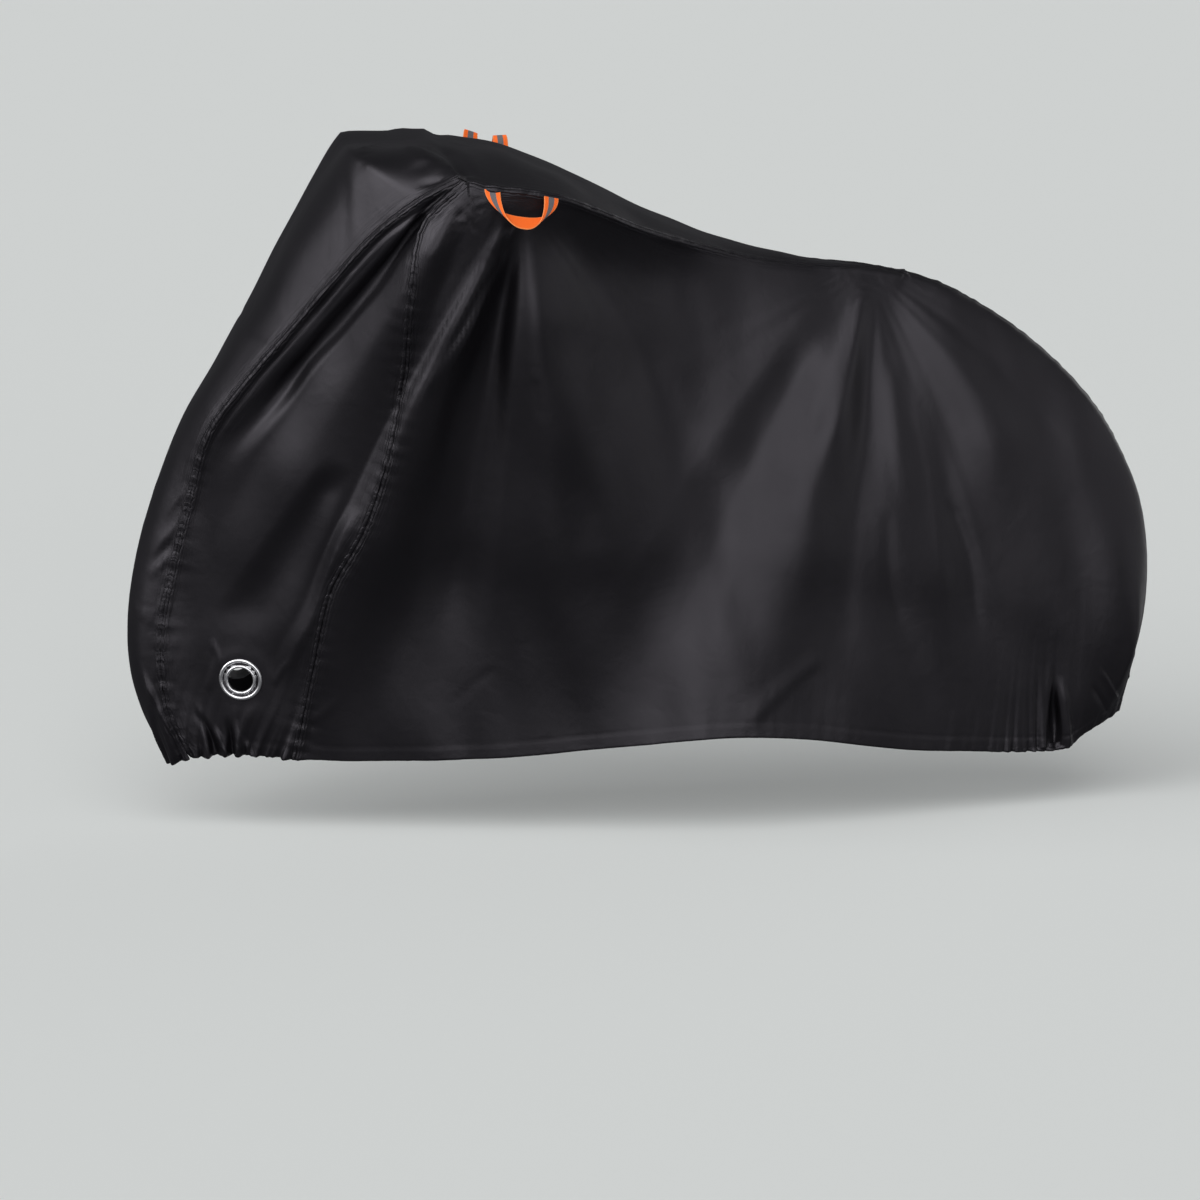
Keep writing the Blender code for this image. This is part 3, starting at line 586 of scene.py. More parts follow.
def fan_lift(places: np.ndarray, fans) -> np.ndarray:
    """Return how far fans of fine folds lift the cloth at places, an array of 2D points."""
    lift = np.zeros(places.shape[:-1])
    for fan in fans:
        rel = places - fan.centre
        away = np.linalg.norm(rel, axis=-1)
        angle = np.arctan2(rel[..., 1], rel[..., 0])
        first, last = np.radians(fan.between)
        within = ease((angle - first) / FAN_EDGE) * ease((last - angle) / FAN_EDGE)
        drawn = ease((away - FAN_FROM) / FAN_RISE) * np.exp(-away / fan.reach)
        lift += fan.lift * ripple(angle, 1.0 / fan.folds, fan.seed) * within * drawn
    return lift


def uneven_lift(places: np.ndarray, seed: int) -> np.ndarray:
    """Return the slow unevenness of hanging cloth at places, an array of 2D points."""
    draw = np.random.default_rng(seed)
    lift = np.zeros(places.shape[:-1])
    for length in UNEVEN_LENGTHS:
        angle, phase, bend = draw.uniform(-0.6, 0.6), draw.uniform(0, 6.28), draw.uniform(-0.6, 0.6)
        along = places[..., 0] * math.cos(angle) + places[..., 1] * math.sin(angle)
        across = places[..., 1] * math.cos(angle) - places[..., 0] * math.sin(angle)
        bent = along + bend * 0.2 * np.sin(4 * across)
        lift += UNEVEN_SLOPE * length * np.sin(2 * math.pi * bent / length + phase)
    return lift


def ripple(run: np.ndarray, wavelength: float, seed: int, waves: int = 6) -> np.ndarray:
    """Return uneven waves along a run, from about -1 to 1.

    Args:
        run: places along the run, metres.
        wavelength: the waves' mean length, metres.
        seed: picks the waves' lengths and phases.
        waves: how many sine waves are added up.
    """
    draw = np.random.default_rng(seed)
    total = np.zeros_like(run)
    for length, phase in zip(draw.uniform(0.65, 1.6, waves), draw.uniform(0, 2 * math.pi, waves)):
        total += np.sin(2 * math.pi * run / (wavelength * length) + phase)
    return total / math.sqrt(waves) / 1.2


# ---------------------------------------------------------------- the panels' shared layout

def spread_places(count: int, tight_start: float, tight_end: float) -> np.ndarray:
    """Return count + 1 places from 0 to 1 that lie closer together towards the ends."""
    t = np.linspace(0.0, 1.0, count + 1)
    pull = 1 - tight_start * np.exp(-t / 0.08) - tight_end * np.exp(-(1 - t) / 0.08)
    steps = np.cumsum(0.5 * (pull[1:] + pull[:-1]))
    return np.concatenate([[0.0], steps / steps[-1]])


def column_places() -> np.ndarray:
    """Return the places of a side's columns along its top edge."""
    top = SADDLE * spread_places(TOP_COLUMNS, 0.45, 0.0)
    back = (1 - SADDLE - STRIP_END) * spread_places(BACK_COLUMNS, 0.0, 0.35)
    return np.concatenate([top, SADDLE + STRIP_END + back])


def top_edge(u: np.ndarray) -> np.ndarray:
    """Return points at the places u along a side's top edge: the top seam, then the back seam."""
    seam = smooth_curve([section.seam for section in TOP])
    back = smooth_curve([(x, 0.0, z) for x, z in (TOP[-1].middle,) + BACK_SEAM])
    behind = (u - SADDLE - STRIP_END) / (1.0 - SADDLE - STRIP_END)
    return np.where((u <= SADDLE)[:, None], seam(u / SADDLE), back(behind))


def coons(bottom, top, left, right, u, v) -> np.ndarray:
    """Fill a grid between four edges: bottom and top at the places u, left and right at v."""
    u = u[None, :, None]
    v = v[:, None, None]
    lofted = (1 - v) * bottom[None] + v * top[None]
    ruled = (1 - u) * left[:, None] + u * right[:, None]
    low = (1 - u) * bottom[0] + u * bottom[-1]
    high = (1 - u) * top[0] + u * top[-1]
    return lofted + ruled - (1 - v) * low - v * high


def side_grid(v: np.ndarray, u: np.ndarray, folds) -> np.ndarray:
    """Return a side's points as (x, half-width, z), rows v from the hem and columns u."""
    corner = np.array([REAR_CORNER[0], 0.0, REAR_CORNER[1]])
    last = np.array([BACK_SEAM[-1][0], 0.0, BACK_SEAM[-1][1]])
    grid = coons(
        smooth_curve(SIDE_HEM)(u + HEM_LEAN * np.sin(math.pi * u)),
        top_edge(u),
        smooth_curve(SIDE_SEAM)(v),
        corner + v[:, None] * (last - corner),
        u,
        v,
    )
    over_wheel = ease((u - 0.5 * SADDLE) / (0.6 * SADDLE)) * ease((1 - u) / 0.08)
    rounded = np.sqrt(1 - v ** 6) * (1 - (1 - v) ** 2)
    grid[..., 1] += WHEEL_ROOM * rounded[:, None] * over_wheel[None, :]
    soften_saddle(grid, v)
    free = ease((1 - v) / TOP_HOLD)[:, None] * ease((1 - u) / REAR_HOLD)[None, :]
    grid[..., 1] += free * fold_lift(grid[..., [0, 2]], folds)
    return grid


def soften_saddle(grid: np.ndarray, v: np.ndarray) -> None:
    """Smooth the turn that the top edge's corner at the saddle sends down a side."""
    near = slice(TOP_COLUMNS - SADDLE_SOFT[0], TOP_COLUMNS + SADDLE_SOFT[1])
    part = grid[:, near]
    window = np.sin(np.linspace(0.0, math.pi, part.shape[1] - 2))[None, :, None]
    below = 0.25 * ease((1 - v) / 0.25)[:, None, None] * window
    for _ in range(SADDLE_TURNS):
        part[:, 1:-1] += below * (part[:, :-2] - 2 * part[:, 1:-1] + part[:, 2:])


def gusset_grid(v: np.ndarray, u: np.ndarray, folds) -> np.ndarray:
    """Return a gusset's points as (x, half-width, z), rows v from the hem and columns u."""
    front = smooth_curve([section.seam for section in NOSE])(v)
    rear = smooth_curve(SIDE_SEAM)(v)
    top = front[-1] + u[:, None] * (rear[-1] - front[-1])
    grid = coons(smooth_curve(GUSSET_HEM)(u), top, front, rear, u, v)
    free = ease((1 - v) / TOP_HOLD)[:, None] * ease(u / FRONT_HOLD)[None, :]
    grid[..., 1] += free * fold_lift(grid[..., [0, 2]], folds)
    return grid


def flat_round_eyelet(points: np.ndarray):
    """Flatten a gusset round its eyelet; return its points, and the eyelet's centre and axis."""
    offset = points[..., [0, 2]] - np.array(EYELET_AT)
    reach = np.linalg.norm(offset, axis=-1)
    close = reach < EYELET_FLAT[1]
    terms = np.column_stack([offset[close], np.ones(close.sum())])
    slope_x, slope_z, level = np.linalg.lstsq(terms, points[close][:, 1], rcond=None)[0]
    plane = level + slope_x * offset[..., 0] + slope_z * offset[..., 1]
    inner, outer = EYELET_FLAT
    points[..., 1] += (1 - ease((reach - inner) / (outer - inner))) * (plane - points[..., 1])
    axis = np.array([-slope_x, 1.0, -slope_z])
    return points, np.array([EYELET_AT[0], level, EYELET_AT[1]]), axis / np.linalg.norm(axis)


def centre_rows(sections, places: np.ndarray, across: np.ndarray, corner: int | None) -> np.ndarray:
    """Return rows of the centre panel at places along its seam; across runs from 0 to 1."""
    knots = chord_knots([section.seam for section in sections])
    seam = smooth_curve([s.seam for s in sections], knots)(places)
    shoulder = smooth_curve([s.shoulder for s in sections], knots, corner)(places)
    centres = [(x, 0.0, z) for x, z in (section.middle for section in sections)]
    middle = smooth_curve(centres, knots, corner)(places)
    near = Hand.LEFT.outwards
    return np.array([smooth_curve([e * near, s * near, m, s, e])(across)
                     for e, s, m in zip(seam, shoulder, middle)])


def centre_grid(v: np.ndarray, u: np.ndarray) -> np.ndarray:
    """Return the centre panel's points, rows from the front hem back to the saddle."""
    half = HALF_STRIP
    across = spread_places(2 * half, 0.55, 0.55)
    nose = centre_rows(NOSE, v, across, NOSE_CORNER)
    top = centre_rows(TOP, u[:TOP_COLUMNS + 1] / SADDLE, across, None)
    part = np.linspace(0.0, 1.0, half + 1)[:, None]
    end = top[-1]
    end[:half + 1] = end[0] + part * (end[half] - end[0])
    end[half:] = end[half] + part * (end[-1] - end[half])
    grid = np.concatenate([nose, top])
    for _ in range(STRIP_SMOOTHING):
        grid[:, 2:-2] = 0.5 * grid[:, 2:-2] + 0.25 * (grid[:, 1:-3] + grid[:, 3:-1])
    seen = grid[..., [0, 1]] * np.where(grid[..., 1:2] > 0, -1.0, 1.0) ** [0, 1]
    edge = np.abs(2 * across - 1)
    strength = np.where(across > 0.5, CENTRE_FAR, 1.0) * ease((1 - edge) / 0.25) * ease(edge / 0.5)
    grid[..., 2] += fold_lift(seen, CENTRE_FOLDS) * strength
    return grid


def cell_normals(points: np.ndarray) -> np.ndarray:
    """Return the sum of the normals of the cells at each grid point."""
    cells = np.cross(points[1:, 1:] - points[:-1, :-1], points[:-1, 1:] - points[1:, :-1])
    cells = cells / np.maximum(np.linalg.norm(cells, axis=-1, keepdims=True), 1e-12)
    total = np.zeros_like(points)
    rows, columns = cells.shape[:2]
    for i in (0, 1):
        for j in (0, 1):
            total[i:rows + i, j:columns + j] += cells
    return total


def shared_normals(panels: dict) -> dict:
    """Return each panel's outward unit normals, made equal where panels meet at a point."""
    sums: dict = {}
    keys = {}
    for name, points in panels.items():
        keys[name] = [tuple(key) for key in np.round(points.reshape(-1, 3), 5) + 0.0]
        for key, normal in zip(keys[name], cell_normals(points).reshape(-1, 3)):
            sums[key] = sums.get(key, 0.0) + normal
    shared = {}
    for name, points in panels.items():
        normals = np.array([sums[key] for key in keys[name]])
        shared[name] = (normals / np.linalg.norm(normals, axis=1)[:, None]).reshape(points.shape)
    return shared


class SeamLine:
    """A seam as a fine broken line, with the seed of the waves that its sewing draws."""

    def __init__(self, points: np.ndarray, seed: int) -> None:
        """Keep the seam's points, from the hem upwards or from the bar end back."""
        self.points = points
        self.seed = seed
        self.length = float(np.linalg.norm(np.diff(points, axis=0), axis=1).sum())

    def reach(self, points: np.ndarray):
        """Return the run along the seam and the distance from it, metres, for a grid of points."""
        share, distance, _ = nearest_on_line(points.reshape(-1, 3), self.points)
        shape = points.shape[:-1]
        return share.reshape(shape) * self.length, distance.reshape(shape)


@dataclass
class CoverLayout:
    """Every panel's fine grid with its soft folds, its normals, the seams and the eyelets."""

    panels: dict = field(default_factory=dict)
    normals: dict = field(default_factory=dict)
    eyelets: dict = field(default_factory=dict)
    seams: dict = field(default_factory=dict)

    def __post_init__(self) -> None:
        """Lay out the panels, then the seams between them."""
        rows = spread_places(ROWS, 0.62, 0.35)
        columns = column_places()
        across = spread_places(GUSSET_COLUMNS, 0.3, 0.3)
        self.panels["centre_panel"] = centre_grid(rows, columns)
        for hand in Hand:
            folds = on_side(hand, SIDE_FOLDS)
            gusset, centre, axis = flat_round_eyelet(gusset_grid(rows, across, folds))
            side = side_grid(rows, columns, folds)
            turn = slice(None, None, -1 if hand is Hand.LEFT else 1)
            self.panels[f"gusset_{hand.word}"] = (gusset * hand.outwards)[:, turn]
            self.panels[f"side_{hand.word}"] = (side * hand.outwards)[:, turn]
            self.eyelets[hand] = (centre * hand.outwards, axis * hand.outwards)
            lines = {"front": gusset[:, 0], "side": gusset[:, -1],
                     "top": side[-1, :TOP_COLUMNS + 1], "back": side[-1, TOP_COLUMNS + 1:]}
            for kind, line in lines.items():
                self.seams[kind, hand] = SeamLine(line * hand.outwards, SEWING[kind].seed)
        self.normals = shared_normals(self.panels)


# ---------------------------------------------------------------- finishes

class Tree:
    """A small helper that adds nodes to a node tree and links them."""

    def __init__(self, tree: bpy.types.NodeTree) -> None:
        """Keep the tree to add to."""
        self.tree = tree

    def fill(self, node: bpy.types.Node, values: dict) -> None:
        """Give a node's inputs, by name or number, their values or the sockets that feed them."""
        for key, value in values.items():
            if isinstance(value, bpy.types.NodeSocket):
                self.tree.links.new(value, node.inputs[key])
            else:
                node.inputs[key].default_value = value

    def add(self, kind: str, values: dict | None = None, **settings) -> bpy.types.Node:
        """Add a node.

        Args:
            kind: the node's type name.
            values: values or output sockets for its inputs, by name or number.
            settings: its properties.

        Returns:
            The node.
        """
        node = self.tree.nodes.new(kind)
        for name, value in settings.items():
            setattr(node, name, value)
        self.fill(node, values or {})
        return node

    def math(self, operation: str, *values) -> bpy.types.NodeSocket:
        """Return the result of an operation on values."""
        return self.add("ShaderNodeMath", dict(enumerate(values)), operation=operation).outputs[0]

    def times(self, *values) -> bpy.types.NodeSocket:
        """Return the product of values."""
        return reduce(lambda first, second: self.math("MULTIPLY", first, second), values)

    def fade(self, distance, depth: float) -> bpy.types.NodeSocket:
        """Return 1 at no distance, dying away over a depth."""
        return self.math("EXPONENT", self.math("DIVIDE", distance, -depth))

    def attribute(self, name: str) -> bpy.types.NodeSocket:
        """Return a mesh attribute's value."""
        return self.add("ShaderNodeAttribute", attribute_name=name).outputs["Fac"]

    def flat(self, uv_map: str) -> bpy.types.NodeSocket:
        """Return the place on the flat cloth or webbing."""
        return self.add("ShaderNodeUVMap", uv_map=uv_map).outputs["UV"]

    def place(self) -> bpy.types.NodeSocket:
        """Return the place on the object."""
        return self.add("ShaderNodeTexCoord").outputs["Object"]

    def noise(self, place, scale: float, detail: float, distortion: float = 0.0,
              dimensions: str = "3D") -> bpy.types.NodeSocket:
        """Return noise from 0 to 1 at a place."""
        values = {"Vector": place, "Scale": scale, "Detail": detail, "Distortion": distortion}
        return self.add("ShaderNodeTexNoise", values, noise_dimensions=dimensions).outputs["Fac"]

    def waves(self, x, y, detail: float, distortion: float = 0.0) -> bpy.types.NodeSocket:
        """Return noise from -0.5 to 0.5 at a place in the plane."""
        place = self.add("ShaderNodeCombineXYZ", {"X": x, "Y": y}).outputs[0]
        return self.math("SUBTRACT", self.noise(place, 1.0, detail, distortion, "2D"), 0.5)

    def between(self, value, low: float, high: float, **limits) -> bpy.types.NodeSocket:
        """Map a value onto the range from low to high, by default from 0 to 1."""
        values = {"Value": value, "To Min": low, "To Max": high, **limits}
        return self.add("ShaderNodeMapRange", values).outputs["Result"]

    def mix(self, share, first, second) -> bpy.types.NodeSocket:
        """Return a blend of two colours."""
        node = self.add("ShaderNodeMix", {0: share, 6: first, 7: second}, data_type="RGBA")
        return node.outputs[2]

    def bump(self, height, distance: float, strength: float, **under) -> bpy.types.NodeSocket:
        """Return the normals of a height, on top of other normals where they are given."""
        values = {"Height": height, "Distance": distance, "Strength": strength, **under}
        return self.add("ShaderNodeBump", values).outputs["Normal"]


def new_material(name: str):
    """Make a material; return it with its node tree and its shader."""
    material = bpy.data.materials.new(name)
    material.use_nodes = True
    return material, Tree(material.node_tree), material.node_tree.nodes["Principled BSDF"]


@dataclass(frozen=True)
class CoatedCloth:
    """Black coated polyester: a satin film over a fine plain weave, crumpled along its seams."""

    name: str = "cover_cloth"
    colour: tuple = (0.0013, 0.0011, 0.0018, 1.0)
    roughness: tuple = (0.42, 0.51)        # it varies slowly between these
    lean: float = 0.45             # how far wrinkles lean along a seam for each metre from it
    crumple: float = 0.0022        # height of the small wrinkles across a seam, metres
    crumple_run: float = 0.0110    # their size along the seam
    crumple_across: float = 28.0   # and how many there are to a metre across it
    crumple_depth: float = 0.0065  # how far they reach from it
    groove: float = 0.0009         # depth of the grooves that the stitches draw
    groove_at: float = 0.0062      # their distance from the seam
    groove_wander: float = 0.004   # how far they wander
    groove_steep: float = -6.0e5   # how steep their sides are
    streak: float = 0.0024         # height of the folds that run along a seam
    streak_size: tuple = (0.055, 0.0042)   # their size along the seam and across it
    streak_depth: float = 0.012    # how far they reach from it
    gather: float = 0.0026         # height of the fine gathers at the hem
    gather_pitch: tuple = (75.0, 16.0)     # how many there are to a metre along it and up from it
    gather_depth: float = 0.022    # how far they reach up from it
    slack: float = 0.0007          # height of the soft wrinkles elsewhere
    slack_pitch: float = 26.0      # and how many there are to a metre
    weave: float = 0.00045         # pitch of the weave's threads

    def material(self) -> bpy.types.Material:
        """Make the material."""
        material, tree, shader = new_material(self.name)
        place = tree.place()
        height = tree.math("ADD", self.seam_wrinkles(tree), self.hem_gathers(tree))
        loose = tree.math("SUBTRACT", tree.noise(place, self.slack_pitch, 3.0, 0.4), 0.5)
        height = tree.math("ADD", height, tree.times(loose, self.slack))
        drape = tree.bump(height, 1.0, 1.0)
        shine = tree.between(tree.noise(place, 7.0, 4.0), *self.roughness,
                             **{"From Min": 0.3, "From Max": 0.7})
        tree.fill(shader, {
            "Base Color": self.colour,
            "Roughness": shine,
            "Specular IOR Level": 0.60,
            "Specular Tint": (0.95, 0.90, 1.0, 1.0),
            "Normal": tree.bump(self.woven(tree), 0.00003, 0.3, Normal=drape),
        })
        return material

    def seam_wrinkles(self, tree: Tree) -> bpy.types.NodeSocket:
        """Return the height of the wrinkles, the stitches' grooves and the folds at the seams."""
        run, off, strength = (tree.attribute(f"seam_{name}") for name in ("run", "off", "strength"))
        lean = tree.math("MULTIPLY_ADD", off, self.lean, run)
        waves = tree.waves(tree.math("DIVIDE", lean, self.crumple_run),
                           tree.times(off, self.crumple_across), 2.5, 0.3)
        small = tree.times(strength, self.crumple)
        crumpled = tree.times(waves, tree.fade(off, self.crumple_depth), small)
        stitch_at = tree.math("MULTIPLY_ADD", waves, self.groove_wander, self.groove_at)
        squared = tree.math("POWER", tree.math("SUBTRACT", off, stitch_at), 2.0)
        dip = tree.math("POWER", 2.718, tree.times(squared, self.groove_steep))
        groove = tree.times(dip, self.groove, strength)
        long, wide = self.streak_size
        lines = tree.waves(tree.math("DIVIDE", lean, long), tree.math("DIVIDE", off, wide),
                           2.0, 0.5)
        high = tree.times(strength, self.streak, tree.fade(off, self.streak_depth))
        return tree.math("ADD", tree.math("SUBTRACT", crumpled, groove), tree.times(lines, high))

    def hem_gathers(self, tree: Tree) -> bpy.types.NodeSocket:
        """Return the height of the fine gathers that the hem's elastic draws."""
        rise = tree.attribute("hem_rise")
        split = tree.add("ShaderNodeSeparateXYZ", {"Vector": tree.flat("cloth")})
        along, up = self.gather_pitch
        waves = tree.waves(tree.times(split.outputs["X"], along), tree.times(rise, up), 2.0)
        strong = tree.times(tree.attribute("hem_pull"), self.gather)
        return tree.times(waves, tree.fade(rise, self.gather_depth), strong)

    def woven(self, tree: Tree) -> bpy.types.NodeSocket:
        """Return the height of the weave's threads."""
        values = {"Vector": tree.flat("cloth"), "Scale": 2 * math.pi / 20 / self.weave}
        warp, weft = (tree.add("ShaderNodeTexWave", values, bands_direction=way).outputs["Fac"]
                      for way in ("X", "Y"))
        return tree.math("ADD", warp, weft)


@dataclass(frozen=True)
class LoopWebbing:
    """Orange webbing with a grey stripe along its middle, woven in rows."""

    name: str = "handle_webbing"
    edge: tuple = (1.0, 0.155, 0.012, 1.0)
    pale: tuple = (0.95, 0.30, 0.09, 1.0)
    stripe: tuple = (0.13, 0.125, 0.135, 1.0)
    stripe_share: float = 0.40     # of the webbing's width
    rib: float = 0.0016            # length of a woven row
    cords: int = 11                # how many threads lie side by side

    def material(self) -> bpy.types.Material:
        """Make the material."""
        material, tree, shader = new_material(self.name)
        split = tree.add("ShaderNodeSeparateXYZ", {"Vector": tree.flat("webbing")})
        across, along = split.outputs["X"], split.outputs["Y"]
        off = tree.math("ABSOLUTE", tree.math("SUBTRACT", across, 0.5))
        middle = tree.math("LESS_THAN", off, 0.5 * self.stripe_share)
        rim = tree.between(off, 0.0, 1.0, **{"From Min": 0.42, "From Max": 0.5})
        orange = tree.mix(rim, self.edge, self.pale)
        grey = tree.times(middle, tree.attribute("outer_face"))
        ribs = tree.math("SINE", tree.times(along, 2 * math.pi / self.rib))
        cross = tree.math("SINE", tree.times(across, 2 * math.pi * self.cords))
        tree.fill(shader, {
            "Base Color": tree.mix(grey, orange, self.stripe),
            "Roughness": 0.62,
            "Specular IOR Level": 0.30,
            "Sheen Weight": 0.10,
            "Normal": tree.bump(tree.times(ribs, cross), 0.00015, 0.6),
        })
        return material


@dataclass(frozen=True)
class PolishedSteel:
    """Bright plated steel with a faint haze."""

    name: str = "eyelet_steel"
    colour: tuple = (0.92, 0.92, 0.94, 1.0)

    def material(self) -> bpy.types.Material:
        """Make the material."""
        material, tree, shader = new_material(self.name)
        rough = tree.between(tree.noise(tree.place(), 160.0, 2.0), 0.26, 0.36)
        tree.fill(shader, {"Base Color": self.colour, "Roughness": rough, "Metallic": 1.0})
        return material


@dataclass(frozen=True)
class BlackThread:
    """Black bonded sewing thread, a little glossier than the cloth."""

    name: str = "sewing_thread"
    colour: tuple = (0.016, 0.016, 0.018, 1.0)

    def material(self) -> bpy.types.Material:
        """Make the material."""
        material, tree, shader = new_material(self.name)
        twist = tree.bump(tree.noise(tree.place(), 900.0, 1.0), 0.0001, 0.5)
        tree.fill(shader, {"Base Color": self.colour, "Roughness": 0.45, "Normal": twist})
        return material


# ---------------------------------------------------------------- meshes from grids

def linked(name: str, data) -> bpy.types.Object:
    """Make an object of a mesh, lamp or camera and put it into the scene."""
    made = bpy.data.objects.new(name, data)
    bpy.context.scene.collection.objects.link(made)
    return made


def grid_object(name: str, points: np.ndarray, keep: np.ndarray) -> bpy.types.Object:
    """Make an object from a grid of points in ground coordinates and of the faces to keep."""
    index = np.arange(points[..., 0].size).reshape(points.shape[:2])
    faces = np.stack([index[:-1, :-1], index[:-1, 1:], index[1:, 1:], index[1:, :-1]], -1)[keep]
    mesh = bpy.data.meshes.new(name)
    mesh.vertices.add(index.size)
    mesh.vertices.foreach_set("co", (points - HELD_AT).reshape(-1))
    mesh.loops.add(4 * len(faces))
    mesh.loops.foreach_set("vertex_index", faces.reshape(-1))
    mesh.polygons.add(len(faces))
    mesh.polygons.foreach_set("loop_start", np.arange(0, 4 * len(faces), 4))
    mesh.update(calc_edges=True)
    mesh.shade_smooth()
    return linked(name, mesh)


def ring_object(name: str, rings: np.ndarray, closed: bool) -> bpy.types.Object:
    """Join rings of points in ground coordinates into one closed object.

    Args:
        name: the object's name.
        rings: closed sections with the same number of points.
        closed: whether the last ring joins the first; if not, both ends are capped.
    """
    shape = bmesh.new()
    verts = [[shape.verts.new(Vector(point - HELD_AT)) for point in ring] for ring in rings]
    for ring, after in zip(verts, verts[1:] + verts[:1] if closed else verts[1:]):
        for j in range(len(ring)):
            k = (j + 1) % len(ring)
            shape.faces.new((ring[j], ring[k], after[k], after[j])).smooth = True
    if not closed:
        shape.faces.new(verts[0])
        shape.faces.new(verts[-1])
    bmesh.ops.recalc_face_normals(shape, faces=shape.faces[:])
    mesh = bpy.data.meshes.new(name)
    shape.to_mesh(mesh)
    shape.free()
    return linked(name, mesh)


def add_value(piece: bpy.types.Object, name: str, values: np.ndarray) -> None:
    """Store a value for each vertex of a piece under a name."""
    layer = piece.data.attributes.new(name, "FLOAT", "POINT")
    layer.data.foreach_set("value", np.ascontiguousarray(values, dtype=np.float32).reshape(-1))


def add_uv(piece: bpy.types.Object, name: str, places: np.ndarray) -> None:
    """Store a UV map from a place for each vertex."""
    mesh = piece.data
    corners = np.empty(len(mesh.loops), dtype=np.int32)
    mesh.loops.foreach_get("vertex_index", corners)
    layer = mesh.uv_layers.new(name=name)
    layer.data.foreach_set("uv", places.reshape(-1, 2)[corners].astype(np.float32).reshape(-1))


def applied(piece: bpy.types.Object) -> bpy.types.Object:
    """Turn a piece's modifiers into its plain mesh."""
    graph = bpy.context.evaluated_depsgraph_get()
    mesh = bpy.data.meshes.new_from_object(piece.evaluated_get(graph))
    mesh.name = piece.name
    piece.modifiers.clear()
    piece.data = mesh
    return piece


def run_along(points: np.ndarray, axis: int) -> np.ndarray:
    """Return how far each point of a line or a grid lies along an axis of it, metres."""
    steps = np.linalg.norm(np.diff(points, axis=axis), axis=-1)
    return np.insert(np.cumsum(steps, axis=axis), 0, 0.0, axis=axis)


def arc_places(points: np.ndarray) -> np.ndarray:
    """Return each grid point's place on the flat cloth, metres: along its row and up its column."""
    return np.stack([run_along(points, 1), run_along(points, 0)], axis=-1)


